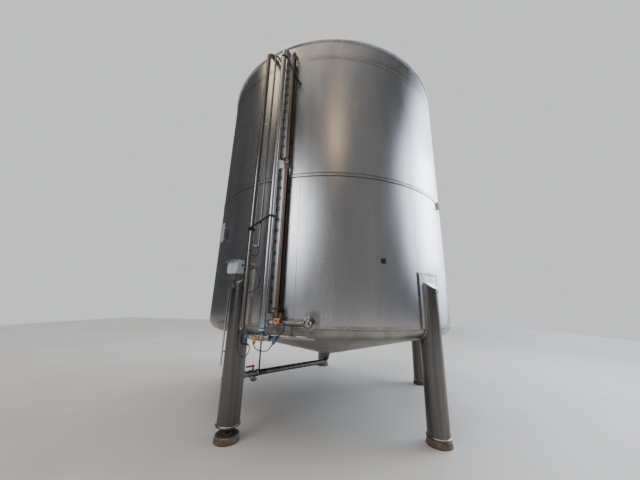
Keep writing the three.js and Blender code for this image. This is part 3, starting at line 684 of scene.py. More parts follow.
# Tint beside the welds, which at the middle band is also painted shade along its edges: height, half width,
# soft edge, colour and amount
WELD_BANDS = (
    (Z_MID * MM, 0.020, 0.012, WELD_TINT, 0.35),
    (Z_UPPER * MM, 0.010, 0.030, WELD_TINT, 0.55),
    (Z_UPPER * MM + 0.045, 0.010, 0.030, (0.34, 0.30, 0.22), 0.40),
    (Z_KNUCKLE * MM + 0.006, 0.006, 0.020, (0.20, 0.17, 0.13), 0.55),
)
BOTTOM_BANDS = ((Z_KNUCKLE * MM - 0.004, 0.004, 0.018, (0.15, 0.13, 0.10), 0.6),)
# Painted shadow and reflection: dark patches on the shell beside the gauge's low fittings and the nozzle:
# middle, half width, half height and colour
SHADE_PATCHES = (
    (at(GAUGE_AZ, SHELL_R, 1102, 74), 0.017, 0.036, (0.05, 0.042, 0.034)),
    (at(GAUGE_AZ, SHELL_R, 1048, -48), 0.014, 0.018, (0.06, 0.05, 0.04)),
    (at(GAUGE_AZ, SHELL_R, 1078, -8), 0.070, 0.040, (0.20, 0.19, 0.175)),
    (at(NOZZLE_AZ, SHELL_R, 1078, 48), 0.030, 0.045, (0.33, 0.315, 0.295)),
)
# Light and dark colour, roughness range, scale of the mottling, grime and, for steel, grain
M_SHELL = steel("shell_steel", (0.62, 0.625, 0.635), (0.56, 0.565, 0.58),
                (0.22, 0.28), (3, 3, 0.10), 0.10, 0.012, WELD_BANDS, 0.10, 0.35, SHADE_PATCHES)
M_BAND = steel("band_steel", (0.34, 0.325, 0.31), (0.22, 0.205, 0.19), (0.24, 0.34), (5, 5, 2), 0.30, 0.05)
M_ROOF = steel("roof_steel", (0.60, 0.60, 0.60), (0.50, 0.50, 0.50), (0.34, 0.46), (2, 2, 2), 0.30, 0.06)
M_BOTTOM = steel("bottom_steel", (0.36, 0.345, 0.32), (0.25, 0.238, 0.215),
                 (0.34, 0.48), (6, 6, 2.5), 0.40, 0.06, BOTTOM_BANDS)
M_LEG = steel("leg_steel", (0.175, 0.168, 0.162), (0.108, 0.102, 0.097),
              (0.24, 0.36), (12, 12, 0.3), 0.35, 0.04)
M_DOUBLER = steel("doubler_steel", (0.58, 0.58, 0.585), (0.44, 0.44, 0.445),
                  (0.28, 0.40), (9, 9, 0.6), 0.25, 0.06)
M_PIPE = steel("pipe_steel", (0.56, 0.565, 0.58), (0.42, 0.425, 0.44),
               (0.14, 0.24), (40, 40, 1.2), 0.18, 0.04)
M_FITTING = steel("fitting_steel", (0.36, 0.358, 0.352), (0.22, 0.216, 0.208),
                  (0.14, 0.30), (30, 30, 30), 0.28, 0.08)
M_WELD = steel("weld_bead", (0.52, 0.50, 0.47), (0.30, 0.26, 0.22), (0.30, 0.50), (60, 60, 60), 0.30, 0.30)
M_SCALE = steel("scale_plate", (0.44, 0.44, 0.445), (0.33, 0.33, 0.335),
                (0.26, 0.38), (12, 12, 0.5), 0.25, 0.04)
# Dark lines along the middle band's edges: painted shade with grime
M_SEAM = plastic("seam_grime_and_shade", (0.070, 0.058, 0.046), (0.024, 0.021, 0.018),
                 (0.50, 0.70), 6.0, 0.30, (0.14, 0.11, 0.08))
M_INK = plastic("numerals", (0.010, 0.010, 0.012), (0.006, 0.006, 0.008), (0.55, 0.7), 30.0, 0.1)
M_BLACK = plastic("black_plastic", (0.016, 0.016, 0.017), (0.008, 0.008, 0.009),
                  (0.55, 0.72), 25.0, 0.22, (0.05, 0.045, 0.04))
M_STRUT = plastic("black_steel", (0.016, 0.015, 0.014), (0.008, 0.008, 0.007),
                  (0.58, 0.74), 30.0, 0.25, (0.06, 0.042, 0.03))
M_CABLE = plastic("cable_sheath", (0.018, 0.018, 0.019), (0.010, 0.010, 0.011),
                  (0.50, 0.66), 60.0, 0.3, (0.09, 0.085, 0.08))
M_ORANGE = plastic("orange_plastic", (0.86, 0.30, 0.11), (0.72, 0.22, 0.07), (0.32, 0.48), 30.0, 0.25)
M_BLUE = plastic("blue_plastic", (0.045, 0.22, 0.52), (0.030, 0.15, 0.38), (0.32, 0.48), 30.0, 0.22)
M_WHITE = plastic("white_band", (0.78, 0.80, 0.82), (0.66, 0.68, 0.70), (0.38, 0.5), 30.0, 0.3)
M_RED = plastic("red_coating", (0.36, 0.035, 0.045), (0.22, 0.020, 0.028), (0.35, 0.5), 30.0, 0.4)
M_BOX = plastic("box_paint", (0.60, 0.66, 0.71), (0.52, 0.58, 0.63),
                (0.34, 0.46), 7.0, 0.18, (0.30, 0.30, 0.30))
M_PLATE = plastic("plate_paint", (0.48, 0.47, 0.55), (0.40, 0.39, 0.46),
                  (0.36, 0.50), 6.0, 0.28, (0.24, 0.23, 0.22))
M_YELLOW = plastic("yellow_plastic", (0.80, 0.50, 0.12), (0.66, 0.38, 0.08), (0.32, 0.48), 30.0, 0.25)
M_VENT = steel("vent_steel", (0.32, 0.312, 0.298), (0.20, 0.192, 0.180),
               (0.20, 0.32), (40, 40, 1.2), 0.35, 0.05)
# Much darker steel for the sampling pipe and its ferrule: the low colour is a painted dark reflection
M_SAMPLE = steel("sample_steel", (0.165, 0.161, 0.153), (0.105, 0.102, 0.095),
                 (0.20, 0.32), (30, 30, 30), 0.30, 0.05)
# The doubler's sloping edges: heat tint with painted shade and dark reflection
M_TINT_AND_SHADE = steel("doubler_edge", (0.19, 0.178, 0.155), (0.11, 0.10, 0.085),
               (0.36, 0.50), (9, 9, 6), 0.35, 0.06)
# Darker steel for the balls and the nozzle's pad: the dark tone is a painted dark reflection
M_DARK = steel("dark_ball", (0.30, 0.30, 0.31), (0.22, 0.22, 0.23), (0.10, 0.18), (20, 20, 20), 0.2, 0.04)
# Darker steel for the bottom outlet: painted shade and dark reflection under the tank
M_OUTLET = steel("outlet_steel", (0.20, 0.195, 0.19), (0.12, 0.116, 0.110),
                 (0.22, 0.34), (20, 20, 1.2), 0.3, 0.05)
M_RUST = rusty("pad_rust")
M_SIGHT = sight_tube("sight_tube")


# Shell

def bottom_height(rho):
    """Height of the bottom's outside at a radius, in mm."""
    centre = SHELL_R - KNUCKLE_R
    sweep = math.pi / 2 - CONE_SLOPE
    end_r = centre + KNUCKLE_R * math.cos(sweep)
    if rho >= end_r:
        reach = min(max(rho - centre, 0.0), KNUCKLE_R)
        return Z_KNUCKLE - math.sqrt(KNUCKLE_R ** 2 - reach * reach)
    return Z_KNUCKLE - KNUCKLE_R * math.sin(sweep) - (end_r - rho) * math.tan(CONE_SLOPE)


def dent(angle, z, size, seed):
    """The slight unevenness of rolled sheet, in mm."""
    p = Vector((math.sin(angle) * 2.6 + seed, math.cos(angle) * 2.6, z * 0.0016))
    q = Vector((math.sin(angle) * 6.0, math.cos(angle) * 6.0 + seed, z * 0.0035))
    return size * (noise.noise(p) + 0.35 * noise.noise(q))


def course(name, z0, z1, seed):
    """One course of the shell: outer sheet with slight unevenness, inner sheet and its two edges."""
    verts = []
    for i in range(ROUND):
        turn = 2 * math.pi * i / ROUND
        column = []
        for z in spaced(z0, z1, COURSE_ROWS):
            ease = min(1.0, min(z - z0, z1 - z) / COURSE_EASE)
            column.append((SHELL_R + dent(turn, z, COURSE_DENT, seed) * ease, z))
        column += [(SHELL_R - WALL, z1), (SHELL_R - WALL, z0)]
        for r, z in column:
            verts.append(Vector((AXIS_X + r * math.sin(turn) * MM, AXIS_Y - r * math.cos(turn) * MM,
                                 z * MM)))
    faces = [(a, d, c, b) for a, b, c, d in grid(ROUND, COURSE_ROWS + 3, True)]
    return finish_mesh(name + "_sheet", verts, faces, M_SHELL, node=name)


def ring_piece(name, profile, material, node=None, segments=ROUND):
    """A profile turned about the tank's axis."""
    axis = Build(Matrix.Translation(Vector((AXIS_X, AXIS_Y, 0))))
    return axis.lathe(profile, None, segments).piece(name, material, node=node)


def bead_ring(name, radius, z, size, proud):
    """A weld bead running round the shell."""
    side = size * 0.55
    profile = [(radius - 1, z - size), (radius + proud * 0.7, z - side), (radius + proud, z),
               (radius + proud * 0.7, z + side), (radius - 1, z + size)]
    return ring_piece(name, profile, M_WELD)


def build_shell():
    course("shell_lower", Z_KNUCKLE, Z_MID, 1.7)
    course("shell_upper", Z_MID, Z_UPPER, 5.2)
    course("shell_top", Z_UPPER, Z_RIM, 9.1)
    r = SHELL_R
    ring_piece("mid_band_strip", [
        (r + 0.3, Z_MID - 17), (r + 2.4, Z_MID - 17), (r + 3.3, Z_MID - 16), (r + 3.3, Z_MID + 16),
        (r + 2.4, Z_MID + 17), (r + 0.3, Z_MID + 17)], M_DOUBLER, "mid_band")
    # Dark rings at the band's edges: painted shade with grime
    for name, z in (("upper", Z_MID + 17), ("lower", Z_MID - 17)):
        ring_piece(f"mid_band_seam_{name}", [
            (r - 1, z - 5), (r + 3.2, z - 4.4), (r + 4.0, z - 2), (r + 4.0, z + 2), (r + 3.2, z + 4.4),
            (r - 1, z + 5)], M_SEAM)
    ring_piece("rim_bar_rolled", [
        (r + 0.3, Z_RIM - 14), (r + 10, Z_RIM - 13), (r + 13.4, Z_RIM - 10), (r + 14.3, Z_RIM - 5),
        (r + 13.4, Z_RIM), (r + 10, Z_RIM + 3.2), (r + 0.3, Z_RIM + 4)], M_DOUBLER, "rim_bar")
    rise = r * math.tan(ROOF_SLOPE)
    top = Z_RIM + WALL
    ring_piece("roof_sheet", [
        (0, Z_RIM + rise), (r, Z_RIM), (r, top), (r * 0.5, top + rise * 0.5), (0, top + rise)],
        M_ROOF, "roof", ROOF_ROUND)
    outer, inner = [
        [(x, -z) for x, z in arc(radius, 0, 90 - math.degrees(CONE_SLOPE), 12, (r - KNUCKLE_R, -Z_KNUCKLE))]
        for radius in (KNUCKLE_R, KNUCKLE_R - WALL)]
    ring_piece("knuckle_sheet", outer + inner[::-1], M_BOTTOM, "bottom_knuckle")
    end = outer[-1]
    cone_out = [(rho, bottom_height(rho)) for rho in spaced(end[0] - 0.3, OUTLET_R, 8)]
    lift = WALL / math.cos(CONE_SLOPE)
    cone_in = [(rho, bottom_height(rho) + lift) for rho in spaced(inner[-1][0] - 0.3, OUTLET_R, 8)]
    ring_piece("cone_sheet", cone_out + cone_in[::-1], M_BOTTOM, "bottom_cone")
    bead_ring("weld_knuckle", r, Z_KNUCKLE, 4.0, 1.0)
    bead_ring("weld_upper", r, Z_UPPER, 4.5, 1.2)
    ring_piece("weld_cone", [(end[0] - 5, end[1] - 0.2), (end[0], end[1] - 1.4),
                             (end[0] + 5, end[1] + 0.6)], M_WELD)


def circle_azimuths(first, count):
    """Evenly spaced azimuths round the tank."""
    return [first + 360 // count * k for k in range(count)]


def build_seams():
    """Upright welds of the courses and the radial welds of the roof and the cone."""
    for name, azimuth, z0, z1 in (
            ("weld_lower_front", -10.7, Z_KNUCKLE + 4, Z_MID - 18),
            ("weld_lower_back", 169.3, Z_KNUCKLE + 4, Z_MID - 18),
            ("weld_upper_front", -15.6, Z_MID + 18, Z_UPPER - 5),
            ("weld_upper_back", 164.4, Z_MID + 18, Z_UPPER - 5),
            ("weld_top_back", 150.0, Z_UPPER + 5, Z_RIM - 14)):
        path = [at(azimuth, SHELL_R - 0.6, z) for z in spaced(z0, z1, 40)]
        Build().tube(path, SEAM_R, 8).piece(name, M_WELD)
    roof = Build()
    for azimuth in circle_azimuths(20, ROOF_WELDS):
        a = at(azimuth, ROOF_EYE, Z_RIM + (SHELL_R - ROOF_EYE) * math.tan(ROOF_SLOPE) + 3.6)
        b = at(azimuth, SHELL_R - 4, Z_RIM + 4 * math.tan(ROOF_SLOPE) + 3.6)
        roof.tube([a.lerp(b, f) for f in spaced(0, 1, 12)], ROOF_WELD_R, 8)
    up = Z_RIM + WALL + (SHELL_R - ROOF_EYE) * math.tan(ROOF_SLOPE)
    eye = [Vector((AXIS_X + y * MM, AXIS_Y + x * MM, up * MM)) for x, y in arc(ROOF_EYE, 0, 360, 48)]
    roof.tube(eye, ROOF_WELD_R, 8).piece("weld_roof", M_WELD)
    bottom = Build()
    for azimuth in circle_azimuths(10, BOTTOM_WELDS):
        path = [at(azimuth, rho, bottom_height(rho) + 0.4) for rho in spaced(60, 1580, 24)]
        bottom.tube(path, SEAM_R, 8)
    bottom.piece("weld_bottom", M_WELD)


# Legs and feet

def cap_height(out):
    """Height of a leg's slanted cap, in mm, at a distance from the tank's axis."""
    return LEG_CAP_INNER - (out - LEG_CIRCLE) * math.tan(LEG_CAP_SLOPE)


def leg_point(theta, radius):
    """Right and outward places on a circle round a leg's own axis; theta 0 faces away from the tank."""
    return radius * math.sin(theta), LEG_CIRCLE + radius * math.cos(theta)


def leg_reach(theta, radius):
    right, out = leg_point(theta, radius)
    return math.hypot(right, out)


def leg_split(radius, limit):
    """The angle round a leg at which its circle enters the shell."""
    low, high = 0.0, math.pi
    while high - low > 1e-12:
        mid = (low + high) / 2
        if leg_reach(mid, radius) > limit:
            low = mid
        else:
            high = mid
    return low


def build_leg(name, azimuth, low):
    place = local_frame(azimuth)
    middle = shift(0, LEG_CIRCLE, 0)

    def spot(theta, radius, z):
        right, out = leg_point(theta, radius)
        return place @ (loc(right, out, z) * MM)

    split = leg_split(LEG_R, SHELL_R)
    columns = [(theta, cap_height(leg_point(theta, LEG_R)[1])) for theta in spaced(-split, split, 40)]
    columns += [(theta, bottom_height(min(leg_reach(theta, LEG_R), SHELL_R)) - 0.4)
                for theta in spaced(split, 2 * math.pi - split, 56)]
    inside = LEG_R - WALL
    tube = Build().add(*skin([
        [spot(theta, LEG_R, low), spot(theta, LEG_R, top), spot(theta, inside, top),
         spot(theta, inside, low)]
        for theta, top in columns], True))
    hole = SPINDLE_R + 2
    wide = LEG_PLATE_R
    tube.lathe([(hole, low), (wide - 1.5, low), (wide, low + 1.5), (wide, low + 8.5),
                (wide - 1.5, low + LEG_PLATE_T), (hole, low + LEG_PLATE_T)], place @ middle, 64)
    tube.piece(f"leg_tube_{name}", M_LEG, node=f"leg_{name}")

    radius = LEG_R + 3
    shell_r = SHELL_R + DOUBLER_T
    edge = leg_split(radius, shell_r)
    outline = [leg_point(theta, radius) for theta in spaced(-edge, edge, 48)]
    back = spaced(math.atan2(*outline[-1]), math.atan2(*outline[0]), 8)[1:-1]
    outline += [(shell_r * math.sin(a), shell_r * math.cos(a)) for a in back]
    hub = LEG_CIRCLE + 50
    rows = []
    for inset, lift in ((1.2, -4.0), (0.0, -3.0), (0.0, 1.0), (1.5, 2.2)):
        scale = 1 - inset / LEG_R
        inset_outline = [(right * scale, hub + (out - hub) * scale) for right, out in outline]
        rows.append([loc(right, out, cap_height(out) + lift) * MM for right, out in inset_outline])
    Build(place).add(*skin(rows)).piece(f"leg_cap_{name}", M_DOUBLER)

    build_doubler(name, azimuth)
    boss = Build(place @ shift(0, LEG_CIRCLE + LEG_R - 3, Z_LEG_BOSS))
    boss.lathe([(0, 0), (18, 0), (18, 16), (16.6, 18.4), (12, 18.4), (11, 16.6), (0, 16.6)], OUTWARD, 36)
    boss.piece(f"leg_boss_{name}", M_DOUBLER)

    top_split = leg_split(LEG_R, shell_r)
    foot = Z_KNUCKLE - 6
    top = cap_height(leg_point(top_split, LEG_R + 1)[1]) - 4
    path = [(top_split, z) for z in spaced(top, foot, 24)]
    for theta in spaced(top_split, 2 * math.pi - top_split, 60)[1:-1]:
        reach = min(leg_reach(theta, LEG_R + 1), SHELL_R)
        path.append((theta, min(bottom_height(reach), foot) - 1.5))
    path += [(-top_split, z) for z in spaced(foot, top, 24)]
    weld = Build().tube([spot(theta, LEG_R + 1, z) for theta, z in path], 4.6, 10)
    rim = []
    for theta in spaced(-edge, edge, 48):
        out = leg_point(theta, LEG_R + 1.2)[1]
        rim.append(spot(theta, LEG_R + 1.2, cap_height(out) - 4.5))
    weld.tube(rim, 3.0, 8)
    z = low + LEG_PLATE_T
    weld.lathe([(LEG_R - 1, z - 0.5), (LEG_R + 5.5, z - 0.5), (LEG_R + 3, z + 3.5), (LEG_R - 1, z + 6.5)],
               place @ middle, 64)
    weld.piece(f"leg_weld_{name}", M_WELD)


def build_doubler(name, azimuth):
    """The pan between a leg and the shell: a flat plate whose free edges slope down to the shell."""
    place = local_frame(azimuth)

    def spot(s, z, lift):
        r = SHELL_R + lift
        return place @ (loc(r * math.sin(s / SHELL_R), r * math.cos(s / SHELL_R), z) * MM)

    low = Z_KNUCKLE
    flat = DOUBLER_HALF - DOUBLER_EDGE
    top = Z_DOUBLER - DOUBLER_EDGE
    columns = spaced(-flat, flat, 24)
    sheet = [[spot(s, low, 0.3), spot(s, low, DOUBLER_T), spot(s, top, DOUBLER_T),
              spot(s, top, 0.3)] for s in columns]
    Build().add(*skin(sheet)).piece(f"leg_doubler_{name}", M_DOUBLER)

    border = [(-DOUBLER_HALF, z, -flat, z) for z in spaced(low, top, 12)]
    border += [(-DOUBLER_HALF, Z_DOUBLER - 6, -flat, top),
               (-DOUBLER_HALF + 1.8, Z_DOUBLER - 1.8, -flat, top),
               (-DOUBLER_HALF + 6, Z_DOUBLER, -flat, top)]
    border += [(s, Z_DOUBLER, s, top) for s in columns[:len(columns) // 2 + 1]]
    border += [(-s, z, -inner, level) for s, z, inner, level in border[-2::-1]]
    edge = [[spot(s, z, 0.3), spot(s, z, 1.6), spot(inner, level, DOUBLER_T), spot(inner, level, 0.3)]
            for s, z, inner, level in border]
    # The sloping edges carry heat tint and painted shade
    Build().add(*skin(edge)).piece(f"doubler_edge_{name}", M_TINT_AND_SHADE)
    points = [edge[0][1]]
    for row in edge:
        if (row[1] - points[-1]).length > 0.4 * MM:
            points.append(row[1])
    Build().tube(points, 2.6, 8).piece(f"doubler_weld_{name}", M_WELD)


def build_foot(name, azimuth, low):
    place = local_frame(azimuth, LEG_CIRCLE)
    pad = Build(place)
    r = PAD_R
    top_r = PAD_TOP_R
    pad.lathe([(0, 1), (60, 1), (64, 0), (r - 2, 0), (r, 2), (r, 7), (r - 1, 8.6), (r - 3, 22),
               (top_r + 4.4, 40), (top_r + 3, PAD_H - 5), (top_r + 1.4, PAD_H - 2), (top_r - 2, PAD_H),
               (46, PAD_H), (42, PAD_H - 2), (40, PAD_H - 5), (0, PAD_H - 5)], None, 96)
    pad.piece(f"foot_pad_{name}", M_RUST, node=f"foot_{name}")
    root = SPINDLE_R - 1.6
    profile = [(0, PAD_H - 6), (SPINDLE_R - 1, PAD_H - 6)]
    z = PAD_H - 4
    while z < low - 28:
        profile += [(root, z), (SPINDLE_R, z + 1.0), (SPINDLE_R, z + 1.6), (root, z + 2.6)]
        z += THREAD_PITCH
    profile += [(root, max(low - 2, z)), (root, low + 40), (0, low + 40)]
    thread = Build(place).lathe(profile, None, 28)
    thread.lathe([(SPINDLE_R - 2, low - 26), (NUT_R - 5, low - 26), (NUT_R, low - 23.5), (NUT_R, low - 3),
                  (NUT_R - 5, low - 0.4), (SPINDLE_R - 2, low - 0.4)],
                 Matrix.Rotation(math.radians(15), 4, "Z"), HEX)
    thread.piece(f"foot_screw_{name}", M_LEG)


def build_legs():
    for name, (azimuth, low) in LEGS.items():
        build_leg(name, azimuth, low)
        build_foot(name, azimuth, low)


# Fittings shared by the pipes

def hex_bolt(build, right, out, up, flats, head):
    """A bolt head that looks outward, on its washer."""
    build.bar(right, (out - 1, out + 1.2), up, flats * 0.62, 20)
    build.bar(right, (out + 1, out + 1.2 + head), up, flats * HEX_REACH, HEX, 1.0)


def union_nut(build, a, b, flats):
    """A hexagon nut on a pipe between two points, with a round collar at each end."""
    a, b = Vector(a), Vector(b)
    d = b - a
    build.rod(a, a + d * 0.12, flats * 0.47, 24, 0.6)
    build.rod(a + d * 0.10, b - d * 0.10, flats * HEX_REACH, HEX, 1.4)
    build.rod(b - d * 0.12, b, flats * 0.47, 24, 0.6)


def clamp(build, centre, axis, radius, thick):
    """A dairy clamp's ring round a ferrule."""
    h = thick / 2
    profile = [(radius - 9, -h * 0.6), (radius - 3, -h), (radius, -h * 0.7), (radius, h * 0.7),
               (radius - 3, h), (radius - 9, h * 0.6)]
    build.lathe(profile, aimed(Vector(centre) * MM, Vector(axis)), 40)


def pipe_bead(build, out, up, radius, proud=0.9, wide=3.0):
    """A weld ring on an upright pipe."""
    side = wide * 0.6
    build.lathe([(radius - 1, up - wide), (radius + proud * 0.6, up - side), (radius + proud, up),
                 (radius + proud * 0.6, up + side), (radius - 1, up + wide)], shift(0, out, 0), 40)


def clamp_ring(azimuth, out, up, radius, high=26.0, thick=3.0):
    """A two-part clamp round an upright pipe."""
    h = high / 2
    r0 = radius + 0.4
    r1 = r0 + thick
    ring = Build(local_frame(azimuth, out, up))
    return ring.lathe([(r0, -h), (r1 - 0.8, -h), (r1, -h + 0.8), (r1, h - 0.8), (r1 - 0.8, h), (r0, h)],
                      None, 40)


# Level gauge

def numeral(text, height):
    """Verts and faces of a number in mm, drawn in X and Z, centred on its width, from its foot."""
    curve = bpy.data.curves.new("numeral", "FONT")
    curve.body = text
    curve.size = height / DIGIT_SHARE
    curve.align_x = "CENTER"
    curve.extrude = DIGIT_DEEP
    curve.offset = DIGIT_BOLD
    curve.resolution_u = 3
    obj = bpy.data.objects.new("numeral", curve)
    SCENE.collection.objects.link(obj)
    bpy.context.view_layer.update()
    mesh = bpy.data.meshes.new_from_object(obj.evaluated_get(bpy.context.evaluated_depsgraph_get()))
    verts = [Vector((v.co.x, -v.co.z, v.co.y)) for v in mesh.vertices]
    faces = [tuple(p.vertices) for p in mesh.polygons]
    bpy.data.objects.remove(obj)
    bpy.data.curves.remove(curve)
    bpy.data.meshes.remove(mesh)
    return verts, faces


def build_scale(name, low, high):
    """A length of the gauge's scale plate, slightly bowed, with its holders."""
    front = GAUGE_FACE + SCALE_T
    section = ((SCALE_LEFT, GAUGE_FACE), (SCALE_LEFT, front - 0.6), (SCALE_LEFT + 0.6, front),
               (SCALE_RIGHT - 0.6, front), (SCALE_RIGHT, front - 0.6), (SCALE_RIGHT, GAUGE_FACE))
    rows = []
    for z in spaced(low, high, 60):
        bow = min(0.0, 0.35 * math.sin(z * 0.021) + 0.25 * math.sin(z * 0.0063 + 1) - 0.6)
        rows.append([loc(x, y + bow * 0.5, z) * MM for x, y in section])
    sheet = Build(local_frame(GAUGE_AZ)).add(*skin(rows))
    for up in (low + 60, (low + high) / 2, high - 130):
        sheet.block((-36, -24), (SHELL_R - 1, GAUGE_FACE + 1), (up - 8, up + 8), 1.0)
    sheet.piece(name + "_plate", M_SCALE, node=name)


def mark_height(mark, shifted):
    """Height of a mark, counted in cubic metres; the upper plate's marks sit a little higher."""
    return MARK_ZERO + MARK_PITCH * mark + (UPPER_SHIFT if shifted else 0)


def build_numbers():
    ink = Build(local_frame(GAUGE_AZ))
    front = GAUGE_FACE + SCALE_T
    rng = random.Random(DIGIT_SEED)
    for number in range(4, 29):
        z = mark_height(number, number >= 17)
        if not (Z_GAUGE_LOW + 12 < z < Z_GAUGE_MID - 70 or Z_GAUGE_MID + 60 < z < Z_GAUGE_TOP - 20):
            continue
        verts, faces = numeral(str(number), DIGIT_HIGH)
        tilt = Matrix.Rotation(rng.uniform(-0.012, 0.012), 4, "Y")
        move = shift(SCALE_LEFT + 31 + rng.uniform(-0.8, 0.8), front + 0.05, z - DIGIT_HIGH / 2)
        ink.add([v * MM for v in verts], faces, move @ tilt)
    edge = SCALE_RIGHT - 1.5
    for tenth in range(40, 300):
        z = mark_height(tenth / 10, tenth >= 168)
        if not (Z_GAUGE_LOW + 6 < z < Z_GAUGE_MID - 66 or Z_GAUGE_MID + 49 < z < Z_GAUGE_TOP - 6):
            continue
        for step, long, thick in MARKS:
            if tenth % step == 0:
                ink.block((edge - long, edge), (front - 0.2, front + 0.25), (z - thick, z + thick), 0.05)
                break
    ink.piece("gauge_numerals", M_INK)


def build_gauge():
    place = local_frame(GAUGE_AZ)
    front = GAUGE_FACE + SCALE_T
    lower_top = Z_GAUGE_MID - 62
    upper_low = Z_GAUGE_MID + 45
    build_scale("gauge_scale_lower", Z_GAUGE_LOW, lower_top)
    build_scale("gauge_scale_upper", upper_low, Z_GAUGE_TOP)
    build_numbers()

    bolts = Build(place)
    for up in (Z_GAUGE_LOW + 22, (Z_GAUGE_LOW + lower_top) / 2 + 30, lower_top - 20, upper_low + 20,
               Z_GAUGE_TOP - 130):
        hex_bolt(bolts, SCALE_LEFT + 8, front, up, 8, 4)
    for up in (Z_GAUGE_LOW + 22, lower_top - 16, upper_low + 18):
        hex_bolt(bolts, SCALE_RIGHT - 6, front, up, 7, 3.5)
    bolts.piece("gauge_bolts", M_FITTING)

    for name, (low, high) in zip(("gauge_tube_lower", "gauge_tube_upper"), SIGHT_SPANS):
        rows = [(0, low), (SIGHT_R - 1, low), (SIGHT_R, low + 1)]
        rows += [(SIGHT_R + 0.15 * math.sin(z * 0.011), z) for z in spaced(low, high, 40)[1:-1]]
        rows += [(SIGHT_R, high - 1), (SIGHT_R - 1, high), (0, high)]
        tube = Build(place).lathe(rows, shift(SIGHT_RIGHT, SIGHT_OUT, 0), 40)
        tube.piece(name + "_glass", M_SIGHT, node=name)

    guard = Build(place)
    back = Build(place)
    rib = SCALE_RIGHT + 3
    for low, high in SIGHT_SPANS:
        guard.block((SCALE_RIGHT + 2, GUARD_RIGHT), (GUARD_OUT + 1, GUARD_OUT + 3), (low, high), 0.6)
        lip = (GUARD_OUT + 2, GUARD_OUT + GUARD_LIP)
        guard.block((GUARD_RIGHT - 3, GUARD_RIGHT), lip, (low, high), 0.8)
        guard.bar(rib, GUARD_OUT + 3.5, (low + 1, high - 1), 2.0, 10)
        back.block((rib, GUARD_RIGHT - 1), (GUARD_OUT, GUARD_OUT + 1), (low + 1, high - 1), 0.4)
    guard.block((GUARD_RIGHT - 8, GUARD_RIGHT), (GUARD_OUT + 1, GUARD_OUT + 3),
                (Z_GAUGE_MID - 50, Z_GAUGE_MID + 50), 0.8)
    for up in (Z_GAUGE_LOW + 90, Z_GAUGE_MID - 300, Z_GAUGE_MID + 300, Z_GAUGE_TOP - 90):
        guard.block((SIGHT_RIGHT - 6, SIGHT_RIGHT + 6), (SHELL_R - 1, GUARD_OUT + 1), (up - 8, up + 8), 1.0)
    guard.piece("gauge_channel", M_BLACK, node="gauge_guard")
    back.piece("gauge_channel_back", M_BAND)

    knobs = Build(place)
    strap = Z_GAUGE_LOW + 40
    for right in (14.0, 61.0):
        knobs.lathe([(0, 0), (6, 0), (9.5, 1.5), (10.5, 4), (10.5, 11), (9, 14), (5, 16), (0, 16.5)],
                    shift(right, SIGHT_OUT + 20, strap) @ OUTWARD, 28)
    reach = SIGHT_OUT + 19
    knobs.block((4, 68), (reach - 1.6, reach + 1.4), (strap - 6, strap + 6), 0.8)
    knobs.block((GUARD_RIGHT - 3, GUARD_RIGHT), (GUARD_OUT + 1, reach), (strap - 5, strap + 5), 0.8)
    knobs.block((4, 7), (front - 0.4, reach), (strap - 5, strap + 5), 0.6)
    left = SCALE_LEFT + 2
    knobs.block((left, SCALE_RIGHT - 4), (front, front + 3), (Z_GAUGE_LOW + 2, Z_GAUGE_LOW + 9), 0.8)
    knobs.block((left, SCALE_RIGHT - 2), (front, front + 2), (Z_GAUGE_MID + 47, Z_GAUGE_MID + 58), 0.8)
    knobs.piece("gauge_knobs", M_BLACK)

    build_mid_valve(place)
    build_low_valve(place)
    elbow = Build(place)
    top = Z_GAUGE_TOP + 60
    run = bent([loc(SIGHT_RIGHT, SIGHT_OUT, Z_GAUGE_TOP + 0.3), loc(SIGHT_RIGHT, SIGHT_OUT, top),
                loc(SIGHT_RIGHT, SHELL_R - 2, top)], 34, 14)
    elbow.sweep(run, 13.5, 32)
    union_nut(elbow, loc(SIGHT_RIGHT, SIGHT_OUT, Z_GAUGE_TOP + 1),
              loc(SIGHT_RIGHT, SIGHT_OUT, Z_GAUGE_TOP + 22), 36)
    elbow.bar(SIGHT_RIGHT, (SHELL_R + 0.5, SHELL_R + 4), top, 22, 32, 1)
    elbow.piece("gauge_top_bend", M_FITTING, node="gauge_top_elbow")


